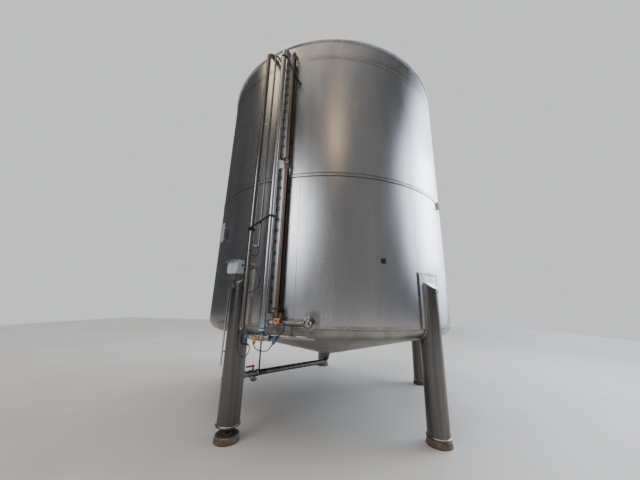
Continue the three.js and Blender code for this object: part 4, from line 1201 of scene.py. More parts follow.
def build_mid_valve(place):
    z = Z_GAUGE_MID
    valve = Build(place)
    valve.bar(SIGHT_RIGHT, SIGHT_OUT, (z - 45.6, z + 45.6), 13, 32)
    for low, high in ((z - 45.6, z - 24), (z + 24, z + 45.6)):
        union_nut(valve, loc(SIGHT_RIGHT, SIGHT_OUT, low), loc(SIGHT_RIGHT, SIGHT_OUT, high), 38)
    valve.ball(loc(SIGHT_RIGHT, SIGHT_OUT, z), 27, 20, 40)
    for near, far, *size in (
            (SHELL_R - 1, SIGHT_OUT, 11, 28), (SHELL_R + 0.4, SHELL_R + 8, 20, 32, 1.2),
            (SHELL_R + 30, SHELL_R + 46, 17, HEX, 1.2), (SIGHT_OUT + 20, SIGHT_OUT + 30, 11, 24, 1),
            (SIGHT_OUT + 26, SIGHT_OUT + 32, 5.5, 16)):
        valve.bar(SIGHT_RIGHT, (near, far), z, *size)
    valve.piece("gauge_mid_ball", M_FITTING, node="gauge_mid_valve")

    lean = Matrix.Rotation(math.radians(8), 4, "Y")
    lever = Build(place @ shift(SIGHT_RIGHT, SIGHT_OUT + 32.5, z) @ lean)
    lever.lathe([(0, 0), (11, 0), (12, 1), (12, 6.5), (10.5, 8), (6.5, 8), (6, 6.6), (0, 6.6)], OUTWARD, 32)
    lever.plate(arc(6, 90, 270, 8, (-44, 0)) + [(-14, -5), (0, -6), (0, 6), (-14, 5)], (-6.5, -1.0))
    lever.piece("gauge_mid_grip", M_BLACK, body="mid_lever_body", node="gauge_mid_lever")

    chain = Build(place)
    rng = random.Random(CHAIN_SEED)
    for k in range(CHAIN_LINKS):
        centre = loc(SIGHT_RIGHT + 30 + rng.uniform(-1, 1), CHAIN_OUT + rng.uniform(-1, 1),
                     z - 20 - CHAIN_PITCH * k)
        chain.ring(centre, (1, 0, 0) if k % 2 else (0, 1, 0), 5.4, 1.3, 18, 8)
    hook = [loc(SIGHT_RIGHT + right, CHAIN_OUT, z + up) for right, up in ((10, -12), (31, -13))]
    chain.rod(*hook, 1.6, 10)
    chain.piece("gauge_chain", M_FITTING)


def build_low_valve(place):
    z = Z_SAMPLE
    low = Build(place)
    low.bar(SIGHT_RIGHT, SIGHT_OUT, (z, Z_GAUGE_LOW - 0.4), 12, 32)
    union_nut(low, loc(SIGHT_RIGHT, SIGHT_OUT, Z_GAUGE_LOW - 34),
              loc(SIGHT_RIGHT, SIGHT_OUT, Z_GAUGE_LOW - 1), 37)
    low.bar(SIGHT_RIGHT, SIGHT_OUT, (z + 30, z + 42), 17, 28, 1.5)
    low.ball(loc(SIGHT_RIGHT, SIGHT_OUT, z), 29.6, 18, 40)
    low.bar((SIGHT_RIGHT - 73.6, SIGHT_RIGHT + 34), SIGHT_OUT, z, 23, 36, 1)
    low.bar((SIGHT_RIGHT - 73.8, SIGHT_RIGHT - 71), SIGHT_OUT, z, 25, 36, 0.5)
    clamp(low, loc(SIGHT_RIGHT - 64, SIGHT_OUT, z), (1, 0, 0), 28.4, 14)
    clamp(low, loc(SIGHT_RIGHT + 28, SIGHT_OUT, z), (1, 0, 0), 27, 11)
    neck = SENSOR_RIGHT - 12
    low.bar(neck, (SIGHT_OUT, SIGHT_OUT + 30), z + 14, 9.6, 28)
    low.bar(neck, (SIGHT_OUT + 24, SIGHT_OUT + 29.8), z + 14, 12, HEX, 1)
    thin = (SIGHT_RIGHT + 5, SIGHT_OUT + 10)
    low.bar(*thin, (z - 128.6, z - 10), 5.8, 20)
    low.bar(*thin, (z - 62, z - 48), 8.4, HEX, 1)
    low.bar(*thin, (z - 128.6, z - 116), 8, 20, 1)
    low.piece("gauge_low_tee", M_FITTING, node="gauge_low_valve")
    # A black disc in the bore: painted shade inside the open end
    bore = Build(place).bar((SIGHT_RIGHT - 74.2, SIGHT_RIGHT - 73), SIGHT_OUT, z, 17, 32, 0.3)
    bore.piece("gauge_low_bore", M_BLACK)

    head = Build(place)
    back = SIGHT_OUT + 30.3
    front = SIGHT_OUT + 60
    rounded_box(head, (SENSOR_RIGHT - 25, SENSOR_RIGHT + 25), (back, front - 9), (z, z + 40), 8)
    wide = (SENSOR_RIGHT - 23.6, SENSOR_RIGHT + 23.6)
    rounded_box(head, wide, (front - 8.4, front), (z + 1.4, z + 38.6), 8)
    head.block((SENSOR_RIGHT - 22, SENSOR_RIGHT + 22), (front - 10, front - 8), (z + 3, z + 37), 0.4)
    head.piece("level_head", M_ORANGE, node="level_sensor")
    gland = Build(place)
    gland.bar((SENSOR_RIGHT + 20, SENSOR_RIGHT + 36), SIGHT_OUT + 43, z + 20, 7.6, 28, 1)
    gland.bar((SENSOR_RIGHT + 26, SENSOR_RIGHT + 32), SIGHT_OUT + 43, z + 20, 9, HEX, 0.6)
    gland.piece("level_gland", M_BLACK)
    oval = [(SENSOR_RIGHT + x, z + 20 + 0.7 * y) for x, y in circle(15, 28)]
    Build(place).plate(oval, (-(front + 0.4), -(front - 1))).piece("level_window", M_RED)

    blue = Build(place)
    build_plug(blue, loc(SIGHT_RIGHT + 16, SIGHT_OUT + 10, z - 138),
               loc(SIGHT_RIGHT - 10, SIGHT_OUT + 10, z - 178), 16)
    blue.piece("plug_blue_right", M_BLUE, node="connector_blue_right")


def build_plug(build, a, b, radius):
    """A round plug with a knurled ring, between two points."""
    start = Vector(a)
    axis = Vector(b) - start
    length = axis.length
    place = aimed(start * MM, axis)
    shape = ((0, 0), (0.62, 0), (0.72, 0), (0.72, 0.2), (1, 0.28), (1, 0.62), (0.9, 0.68), (0.9, 0.86),
             (0.68, 0.93), (0.5, 1), (0, 1))
    profile = [(radius * r, length * z) for r, z in shape]
    profile[2] = (radius * 0.72, 1)
    build.lathe(profile, place, 40)
    for x, y in circle(radius * 0.985, 18):
        build.join(Build().rod((x, y, length * 0.3), (x, y, length * 0.6), 1.1, 8, 0.4), place)


# Pipes

def pipe_run(azimuth, out, low, top, bend, steps, lead=()):
    """The frame and path of an upright pipe whose top turns into the shell."""
    corners = [*lead, loc(0, out, low), loc(0, out, top), loc(0, SHELL_R - 2, top)]
    return Build(local_frame(azimuth)), bent(corners, bend, steps)


def build_pipes():
    clean = local_frame(CLEANING_AZ)
    pipe, run = pipe_run(CLEANING_AZ, CLEANING_OUT, Z_CLEANING, Z_PIPE_TOP, 70, 20)
    pipe.sweep(run, PIPE_C_R, 56)
    for up in CLEANING_BEADS:
        pipe_bead(pipe, CLEANING_OUT, up, PIPE_C_R)
    pipe.bar(0, (SHELL_R + 0.4, SHELL_R + 5), Z_PIPE_TOP, PIPE_C_R + 6, 40, 2)
    pipe.piece("cleaning_tube", M_PIPE, node="cleaning_pipe")

    r = PIPE_C_R + 1
    bore = PIPE_C_R - 6
    for name, material, node, profile in (
            ("collar_ferrule", M_SAMPLE, None, (
                (bore, -48), (r - 2, -48), (r, -46), (r, -37), (r - 1.5, -35.5), (bore, -35.5))),
            ("collar_blue", M_BLUE, "cleaning_collar", (
                (bore, -35.2), (r - 1, -35.2), (r, -34), (r, -25), (r - 1.5, -24), (r - 1.5, -15), (r, -14),
                (r, -2), (r - 2, -0.4), (bore, -0.4))),
            ("collar_band", M_WHITE, None, (
                (r - 2, -24), (r - 0.7, -23.6), (r - 0.5, -19.5), (r - 0.7, -15.4), (r - 2, -15)))):
        Build(clean).lathe(profile, shift(0, CLEANING_OUT, Z_CLEANING), 48).piece(name, material, node=node)

    build_manifold(clean, Z_MANIFOLD)

    strut = Build().join(clamp_ring(CLEANING_AZ, CLEANING_OUT, Z_STRUT, PIPE_C_R))
    run = bent([at(CLEANING_AZ, CLEANING_OUT, Z_STRUT, PIPE_C_R + 10),
                at(GAUGE_AZ, 1776, Z_STRUT - 256, 66),
                at(GAUGE_AZ, SHELL_R - 2, Z_STRUT - 307, 99)], 30 * MM, 10)
    strut.tube(run, STRUT_R, 24)
    pad = [at(GAUGE_AZ, SHELL_R + 0.5, Z_STRUT - 306, 98.6), at(GAUGE_AZ, SHELL_R + 4, Z_STRUT - 305, 98)]
    strut.tube(pad, 15, 28)
    strut.piece("strut_rod", M_STRUT, node="pipe_strut")

    vent, run = pipe_run(VENT_AZ, VENT_OUT, Z_VENT, Z_PIPE_TOP, 70, 20)
    vent.sweep(run, PIPE_A_R - 0.4, 48)
    for up in VENT_BEADS:
        pipe_bead(vent, VENT_OUT, up, PIPE_A_R - 0.4, 0.4)
    vent.bar(0, (SHELL_R + 0.4, SHELL_R + 5), Z_PIPE_TOP, PIPE_A_R + 6, 40, 2)
    vent.lathe([(PIPE_A_R - 3, 0), (PIPE_A_R, 0), (PIPE_A_R, 14), (PIPE_A_R - 0.6, 15)],
               shift(0, VENT_OUT, Z_VENT), 48)
    vent.piece("vent_tube", M_VENT, node="vent_pipe")
    # A black disc in the bore: painted shade inside the open end
    bore = Build(local_frame(VENT_AZ)).bar(0, VENT_OUT, (Z_VENT - 0.1, Z_VENT + 0.4), PIPE_A_R - 3, 40)
    bore.piece("vent_bore", M_BLACK)

    lead = [loc(-46, CONDUIT_OUT + 6, Z_CONDUIT)]
    conduit, run = pipe_run(CONDUIT_AZ, CONDUIT_OUT, Z_CONDUIT, Z_PIPE_TOP - 60, 34, 12, lead)
    conduit.sweep(run, THIN_R, 28)
    for up in CONDUIT_NUTS:
        conduit.lathe([(THIN_R - 1, -8), (THIN_R + 1.6, -8), (THIN_R + 2.4, -7), (THIN_R + 2.4, 7),
                       (THIN_R + 1.6, 8), (THIN_R - 1, 8)], shift(0, CONDUIT_OUT, up), 28)
    conduit.bar(-6, CONDUIT_OUT + 1, (Z_CONDUIT + 4, Z_CONDUIT - 9), 6.8, 28, 1)
    conduit.piece("conduit_tube", M_VENT, node="conduit")
    gland = Build(local_frame(CONDUIT_AZ))
    gland.bar(-6, CONDUIT_OUT + 1, (Z_CONDUIT - 4, Z_CONDUIT - 8.8), 7, HEX, 0.6)
    gland.piece("conduit_gland", M_BLACK)
    clamp_ring(VENT_AZ, VENT_OUT, Z_TIE, PIPE_A_R, 5, 1.6).piece("cable_tie", M_BLACK)

    build_links()


def build_manifold(clean, z):
    """The tee under the cleaning pipe with its sensor and the connector on its left."""
    body = Build(clean)
    body.bar(0, CLEANING_OUT, (z - 30, Z_CLEANING - 48.4), PIPE_C_R - 3.4, 40, 2)
    body.bar((-52, 84), CLEANING_OUT, z, 23.6, 40, 1.5)
    body.ball(loc(0, CLEANING_OUT, z), 27.6, 18, 36)
    for right, radius, thick in ((-45, 28, 11), (28, 26, 8), (75, 29, 14)):
        clamp(body, loc(right, CLEANING_OUT, z), (1, 0, 0), radius, thick)
    body.bar((82, 84), CLEANING_OUT, z, 27, 40, 0.8)
    body.piece("manifold_body", M_FITTING, node="cleaning_manifold")

    orange = Build(clean)
    orange.bar(PLUG_RIGHT, CLEANING_OUT, (z - 26, z + 4), 17.4, 40, 2.5)
    for x, out in circle(17.0, 18, (PLUG_RIGHT, CLEANING_OUT)):
        orange.bar(x, out, (z - 22, z - 4), 0.9, 8, 0.4)
    orange.bar((PLUG_RIGHT + 10, -52.4), CLEANING_OUT, z - 9, 10.8, 28)
    orange.piece("head_orange", M_ORANGE, node="sensor_orange")
    cup = Build(clean).bar(PLUG_RIGHT, CLEANING_OUT, (z - 42, z - 26.5), 16.4, 32, 2)
    cup.piece("head_yellow", M_YELLOW)
    seat = Build(clean).bar(PLUG_RIGHT, CLEANING_OUT, (z - 51, z - 41), 12.5, 28, 2)
    seat.piece("head_gland", M_BLACK)

    start = loc(PLUG_RIGHT - 19.6, CLEANING_OUT, z - 15)
    end = loc(-134, CLEANING_OUT, z - 8.4)
    stub = Build(clean).rod(start, end, 8.4, 28, 0.8)
    for f in (0.12, 0.55, 0.86):
        a = start.lerp(end, f)
        stub.rod(a, a + Vector((-4, 0, 0.6)), 9, 28, 0.8)
    stub.piece("stub_tube", M_FITTING, node="connector_stub")
    blue = Build(clean)
    build_plug(blue, loc(-138, CLEANING_OUT, z - 7), loc(-176, CLEANING_OUT, z + 7), 17.5)
    blue.piece("plug_blue_left", M_BLUE, node="connector_blue_left")
    corners = [loc(right, CLEANING_OUT, up) for right, up in (
        (-176.4, z + 7.1), (-203, z + 16), (-203, Z_ELBOW), (-137, Z_ELBOW))]
    elbow = Build(clean).sweep(bent(corners, 18, 10), 8.6, 28)
    elbow.rod(loc(-176.6, CLEANING_OUT, z + 7.2), loc(-184, CLEANING_OUT, z + 9.7), 9, 28, 0.8)
    elbow.bar((-137.2, -149), CLEANING_OUT, Z_ELBOW, 9, 28, 0.8)
    elbow.piece("elbow_black", M_BLACK, node="connector_elbow")


def build_links():
    """The brace and the small clamps between the pipes."""
    held = ((VENT_AZ, VENT_OUT, Z_BRACE, PIPE_A_R),
            (CLEANING_AZ, CLEANING_OUT, Z_BRACE + BRACE_RISE, PIPE_C_R),
            (CLEANING_AZ, CLEANING_OUT, Z_STRUT, PIPE_C_R))
    brace = Build()
    for place in held[:2]:
        brace.join(clamp_ring(*place))
    a = at(VENT_AZ, VENT_OUT + PIPE_A_R + 15, Z_BRACE, -8)
    b = at(CLEANING_AZ, CLEANING_OUT + 4, Z_BRACE + BRACE_RISE, -(PIPE_C_R + 8))
    brace.tube([a.lerp(b, f) for f in spaced(0, 1, 8)], BRACE_R - 0.4, 24)
    brace.piece("brace_rod", M_STRUT, node="pipe_brace")

    bolts = Build()
    for azimuth, out, up, radius in held:
        for side in (-1, 1):
            ear = Build(local_frame(azimuth))
            span = tuple(sorted((side * (radius + 2), side * (radius + 15))))
            ear.block(span, (out + 1.0, out + 4.5), (up - 11, up + 11), 0.8)
            ear.block(span, (out - 4.5, out - 1.0), (up - 11, up + 11), 0.8)
            ear.bar(side * (radius + 9), (out - 9, out + 7), up, 3, 14, 0.5)
            ear.bar(side * (radius + 9), (out + 4, out + 9.5), up, 6, HEX, 0.8)
            bolts.join(ear)
    bolts.piece("clamp_bolts", M_STRUT)

    link = Build()
    for up, drop in ((Z_LINK, 0), (Z_LINK_LOW, 6)):
        link.join(clamp_ring(VENT_AZ, VENT_OUT, up, PIPE_A_R, 16, 2.4))
        link.join(clamp_ring(CONDUIT_AZ, CONDUIT_OUT, up, THIN_R, 16, 2.4))
        a = at(VENT_AZ, VENT_OUT + 2, up)
        b = at(CONDUIT_AZ, CONDUIT_OUT, up - drop)
        link.tube([a.lerp(b, f) for f in spaced(0.30, 0.87, 6)], 5, 18)
    link.piece("pipe_links", M_FITTING)


# Sampling nozzle, its pipe and rail

def wall_reach(right, up, lift):
    """How far out the shell or its knuckle lies, with a lift, beside a place near its lower edge."""
    reach = math.sqrt((SHELL_R + lift) ** 2 - right * right)
    if up < Z_KNUCKLE:
        reach = min(reach, SHELL_R - KNUCKLE_R + math.sqrt((KNUCKLE_R + lift) ** 2 - (Z_KNUCKLE - up) ** 2))
    return reach


def build_nozzle():
    place = local_frame(NOZZLE_AZ)
    z = Z_SAMPLE
    rows = []
    for radius, lift in ((58.0, 0.3), (58.0, 2.0), (57.0, 4.6), (54.0, 5.6), (30.0, 5.6), (0.0, 5.6)):
        spots = circle(radius, 64, (0, z))
        rows.append([loc(right, wall_reach(right, up, lift), up) * MM for right, up in spots])
    Build(place).add(*skin(rows)).piece("nozzle_pad", M_DARK)
    spots = arc(57.0, 0, 360, 64, (0, z))
    rim = [loc(right, wall_reach(right, up, 3.5), up) for right, up in spots]
    Build(place).sweep(rim, 1.6, 8).piece("nozzle_rim", M_PIPE)

    body = Build(place)
    body.bar(0, (SHELL_R - 1, NOZZLE_OUT), z, 29, 40)
    clamp(body, loc(0, SHELL_R + 35, z), (0, -1, 0), 44, 14)
    body.bar((-41, -30), NOZZLE_OUT, z, 28, 36, 2)
    body.bar(0, (NOZZLE_OUT, NOZZLE_OUT + 54), z, 9, 28)
    body.bar(0, (NOZZLE_OUT + 34, NOZZLE_OUT + 44), z, 15, HEX, 1)
    body.bar(0, (NOZZLE_OUT + 44, NOZZLE_OUT + 47), z, 13, 28, 0.6)
    for right, up in circle(31, 4, (0, z), 45):
        body.bar(right, (SHELL_R + 24, SHELL_R + 50), up, 4, HEX, 0.6)
    body.piece("nozzle_body", M_FITTING, node="nozzle")
    Build(place).ball(loc(0, NOZZLE_OUT, z), 39.6, 26, 52).piece("nozzle_ball", M_DARK)

    grip = Build(place @ shift(0, NOZZLE_OUT + 54.5, z))
    hub = [(0, 0), (13, 0), (14, 1), (14, 7), (12.5, 8.5), (7, 8.5), (6.5, 7.2), (0, 7.2)]
    grip.lathe(hub, OUTWARD, 32)
    outline = [(-6, 0), (6, 0), (5.5, 40), (7, 60)] + arc(7, 0, 180, 8, (0, 97)) + [(-7, 60), (-5.5, 40)]
    grip.plate(outline, (-7.3, -1.6))
    grip.piece("nozzle_grip", M_PIPE, body="nozzle_lever_body", node="nozzle_lever")

    link = Build()
    left = at(GAUGE_AZ, SIGHT_OUT, z, SIGHT_RIGHT + 37)
    right = at(NOZZLE_AZ, NOZZLE_OUT, z, -41)
    link.tube([left.lerp(right, f) for f in spaced(0, 1, 16)], 25.6, 48)
    d = (right - left).normalized() * MM
    for f in (0.32, 0.74):
        c = left.lerp(right, f)
        link.tube([c - d * 3.0, c - d * 1.5, c + d * 1.5, c + d * 3.0], 26.5, 48)
    foot = at(SUPPORT_AZ, SUPPORT_OUT, Z_RAIL)
    for low, high, radius, sides in ((0, z - Z_RAIL, 12.6, 32), (40, 50, 15.5, HEX), (84, 88, 17, 32)):
        link.tube([foot + Z_AXIS * low * MM, foot + Z_AXIS * high * MM], radius, sides)
    link.piece("sample_tube", M_SAMPLE, node="sample_pipe")


def build_rail():
    place = local_frame(SUPPORT_AZ)
    rail = Build(place)
    rail.block(RAIL_SPAN, RAIL_OUT, (Z_RAIL - 30, Z_RAIL - 9), 1.6)
    rail.block((-24, 24), (RAIL_OUT[0], RAIL_OUT[1] + 31), (Z_RAIL - 8, Z_RAIL - 0.4), 1.0)
    for right in (-150, 150):
        holder = (SHELL_R - 14, RAIL_OUT[0] + 2)
        rail.block((right - 15, right + 15), holder, (Z_RAIL - 30, Z_RAIL - 22), 1.0)
        hex_bolt(rail, right, RAIL_OUT[1] + 1, Z_RAIL - 16, 12, 6)
    for right in (-16, 16):
        rail.bar(right, 1742, (Z_RAIL - 1, Z_RAIL + 5), 5, HEX, 0.6)
    rail.piece("rail_bar", M_BAND, node="pipe_rail")
    Build(place).bar((-227, 130), 1716, Z_RAIL - 5.6, 5.2, 24, 1).piece("rail_edge", M_PIPE)


# Bottom outlet

def build_outlet():
    place = local_frame(OUTLET_AZ)
    z = Z_OUTLET
    top = bottom_height(OUTLET_R)
    pipe = Build(place)
    pipe.sweep(bent([loc(0, 0, top - 0.3), loc(0, 0, z), loc(0, OUTLET_END, z)], OUTLET_BEND, 24),
               OUTLET_TUBE_R, 56)
    flange = [(26, top - 12), (42, top - 12), (44, top - 10.5), (44, top - 2), (42, top - 0.6),
              (26, top - 0.6)]
    pipe.lathe(flange, None, 56)
    for x, y in circle(37, 4, start=45):
        pipe.rod((x, y, top - 17), (x, y, top - 11), 4.5, HEX, 0.5)
    for out in OUTLET_WELDS:
        pipe.bar(0, (out - 2.5, out + 2.5), z, OUTLET_TUBE_R + 0.8, 56, 1.2)
    pipe.piece("outlet_tube", M_OUTLET, node="outlet_pipe")

    hang = Build(place)
    hang_top = bottom_height(OUTLET_HANGER) - 1
    hang.bar(0, OUTLET_HANGER, (z + OUTLET_TUBE_R + 0.5, hang_top - 4), 8.6, 24)
    hang.bar(0, OUTLET_HANGER, (hang_top - 10, hang_top - 5), 24, 32, 1)
    hang.bar(0, OUTLET_HANGER, (hang_top - 20, hang_top - 10), 13, HEX, 1)
    hang.bar(0, (OUTLET_HANGER - 13, OUTLET_HANGER + 13), z, OUTLET_TUBE_R + 2, 48, 1)
    hang.piece("hanger_rod", M_STRUT, node="outlet_hanger")

    start = OUTLET_END + 0.3
    pin = start + 63
    valve = Build(place).bar(0, (start, start + 170), z, 31, 48, 1)
    for reach, thick in ((7, 14), (101, 14), (163.4, 13)):
        clamp(valve, loc(0, start + reach, z), (0, -1, 0), 40, thick)
    for x, up in circle(35, 4, (0, z), 45):
        valve.bar(x, (start + 12, start + 96), up, 3.6, 8, 0.6)
    valve.bar(0, pin, (z, z + 66), 8.6, 28)
    valve.bar(0, pin, (z + 30, z + 46), 17, 32, 1.5)
    valve.bar(0, pin, (z + 50, z + 58), 13, HEX, 1)
    valve.piece("outlet_body", M_FITTING, node="outlet_valve")
    Build(place).ball(loc(0, start + 48, z - 44), 45.6, 24, 48).piece("outlet_ball", M_DARK)
    # A black disc in the bore: painted shade inside the open end
    Build(place).bar(0, (start + 169.2, start + 170.1), z, 26, 40).piece("outlet_bore", M_BLACK)

    grip = Build(place @ shift(0, pin, z + 66.5))
    grip.lathe([(0, 0), (14, 0), (15, 1), (15, 19.5), (13.5, 21.3), (7, 21.3), (6, 20), (0, 20)], None, 36)
    outline = arc(8.6, 0, -180, 8, (0, -83))
    outline += [(-8.6, -36), (-7, -14), (-8, 0), (8, 0), (7, -14), (8.6, -36)]
    layers = []
    for inset, up in ((0.9, 2.0), (0.0, 4.0), (0.0, 17.0), (0.9, 19.2)):
        layers.append([Vector((x * (1 - inset / 9), y, up)) * MM for x, y in outline])
    grip.add(*skin(layers))
    grip.piece("outlet_grip", M_RED, body="outlet_handle_body", node="outlet_handle")


# Junction box, plate and small fittings

def build_box():
    place = local_frame(BOX_AZ)
    z = Z_BOX
    front = BOX_BACK + 82
    box = Build(place)
    rounded_box(box, (-85, 85), (BOX_BACK, front - 16), (z, z + 130), 9)
    rounded_box(box, (-83, 83), (front - 14.5, front - 1), (z + 2, z + 128), 8)
    box.block((-80, 80), (front - 17, front - 14), (z + 5, z + 125), 0.5)
    box.block((-30, 30), (SHELL_R - 1, BOX_BACK + 1), (z + 80, z + 92), 1.0)
    box.piece("box_body", M_BOX, node="junction_box")
    screws = Build(place)
    for right, up in product((-73, 73), (z + 12, z + 118)):
        screws.bar(right, (front - 2, front - 0.2), up, 5.2, 24, 0.6)
    screws.piece("box_screws", M_FITTING)
    glands = Build(place)
    for right in (30, -10, -50):
        glands.bar(right, GLAND_OUT, (z - 1.6, z + 1), 11, HEX, 0.5)
        if right != 30:
            glands.bar(right, GLAND_OUT, (z - 14, z - 1.5), 8, 20, 1.5)
    glands.bar((84, 86.6), SIDE_GLAND_OUT, z + 80, 11, 24, 0.5)
    glands.piece("box_glands", M_BLACK)

    lean = Matrix.Rotation(math.radians(8), 4, "X")
    hood = Build(place @ shift(0, SHELL_R, z + 152) @ lean @ shift(0, -SHELL_R, 0))
    reach = BOX_BACK + 103.6
    left, right = -112.0, 70.0
    corner = 18.0
    outline = [(s, math.sqrt((SHELL_R + 0.5) ** 2 - s * s)) for s in spaced(left, right, 14)]
    lip = arc(corner, 0, 90, 6, (right - corner, reach - corner))
    lip += arc(corner, 90, 180, 6, (left + corner, reach - corner))
    hood.add(*skin([[loc(x, y, up) * MM for x, y in outline + lip] for up in (0, 3)]))
    middle = (left + right) / 2
    rows = []
    for x, y in lip:
        inner = x + (3 if x < middle else -3) * min(1.0, abs(x - middle) / 70)
        section = ((x, y, 2), (x, y, -23), (inner, y - 2.4, -23), (inner, y - 2.4, 2))
        rows.append([loc(*spot) * MM for spot in section])
    hood.add(*skin(rows))
    hood.piece("hood_sheet", M_DOUBLER, node="box_hood")


def rounded_box(build, right, out, up, corner):
    """A box whose edges along the outward axis are rounded."""
    low, high = right[0] + corner, right[1] - corner
    foot, head = up[0] + corner, up[1] - corner
    outline = []
    for n, centre in enumerate(((high, head), (low, head), (low, foot), (high, foot))):
        outline += arc(corner, 90 * n, 90 * n + 90, 6, centre)
    cx, cz = (right[0] + right[1]) / 2, (up[0] + up[1]) / 2
    rows = []
    for shrink, y in ((1.6, out[0]), (0, out[0] + 1.6), (0, out[1] - 1.6), (1.6, out[1])):
        fx = 1 - shrink / (right[1] - cx)
        fz = 1 - shrink / (up[1] - cz)
        rows.append([loc(cx + (x - cx) * fx, y, cz + (z - cz) * fz) * MM for x, z in outline])
    build.add(*skin(rows))


def build_nameplate():
    place = local_frame(PLATE_AZ)
    sheet = Build(place)
    rounded_box(sheet, (-72, 72), PLATE_OUT, PLATE_ENDS, 6)
    for up in (PLATE_ENDS[0] + 45, PLATE_ENDS[1] - 45):
        sheet.block((-10, 10), (SHELL_R - 1, PLATE_OUT[0] + 1), (up - 8, up + 8), 1.0)
    sheet.piece("plate_sheet", M_PLATE, node="nameplate")
    rivets = Build(place)
    for right, up in product((-62, 62), (PLATE_ENDS[0] + 11, PLATE_ENDS[1] - 11)):
        rivets.lathe([(0, -0.5), (4.2, -0.5), (4.2, 0.3), (3.2, 1.4), (1.6, 2.0), (0, 2.1)],
                     shift(right, PLATE_OUT[1], up) @ OUTWARD, 24)
    rivets.piece("plate_rivets", M_FITTING)


def build_small():
    lug = Build(local_frame(LUG_AZ))
    for low, high, near in ((LUG_ENDS[0], Z_MID - 17.6, -0.5), (Z_MID + 17.6, LUG_ENDS[1], -0.5),
                            (Z_MID - 19, Z_MID + 19, 4.6)):
        lug.block((-6, 6), (SHELL_R + near, LUG_OUT), (low, high), 1.2)
    lug.piece("lug_plate", M_DOUBLER, node="side_lug")

    socket = Build(local_frame(SOCKET_AZ))
    rounded_box(socket, (-25, 25), (SHELL_R - 0.5, SHELL_R + 8), (Z_SOCKET - 25, Z_SOCKET + 25), 5)
    socket.lathe([(0, 0), (16, 0), (16, 6), (15, 7), (11, 7), (10, 5), (0, 5)],
                 shift(0, SHELL_R + 7, Z_SOCKET) @ OUTWARD, 36)
    socket.piece("socket_block", M_BLACK, node="probe_socket")

    nub = Build(local_frame(SOCKET_AZ + 0.2))
    nub.bar(0, (SHELL_R - 0.5, SHELL_R + 9), Z_NUB, 9, 28, 1.5)
    nub.bar(0, (SHELL_R + 8, SHELL_R + 14), Z_NUB, 6, HEX, 0.8)
    nub.piece("shell_nub", M_FITTING)

    label = Build(local_frame(LABEL_AZ))
    label.block((-14, 14), (SHELL_R - 0.4, SHELL_R + 0.8), (LABEL_UP - 26, LABEL_UP + 26), 0.3)
    label.piece("shell_label", M_WHITE)

    run = Build(local_frame(LEGS["front_left"][0]))
    right, out = LEG_PIPE_RIGHT, LEG_PIPE_OUT
    run.bar(right, out, LEG_PIPE_ENDS, 8.6, 28, 1)
    for up in LEG_PIPE_CLIPS:
        run.block((right, right + 12), (out - 16, out - 3), (up - 6, up + 6), 1.0)
        run.block((right + 5, right + 18), (out - 32, out - 10), (up - 6, up + 6), 1.0)
        run.bar(right, out, (up - 9, up + 9), 10.4, 28, 1)
    run.bar(right, out, (LEG_PIPE_ENDS[1], LEG_PIPE_ENDS[1] - 1), 10, 24)
    run.piece("leg_tube_small", M_PIPE, node="leg_pipe")


# Cables

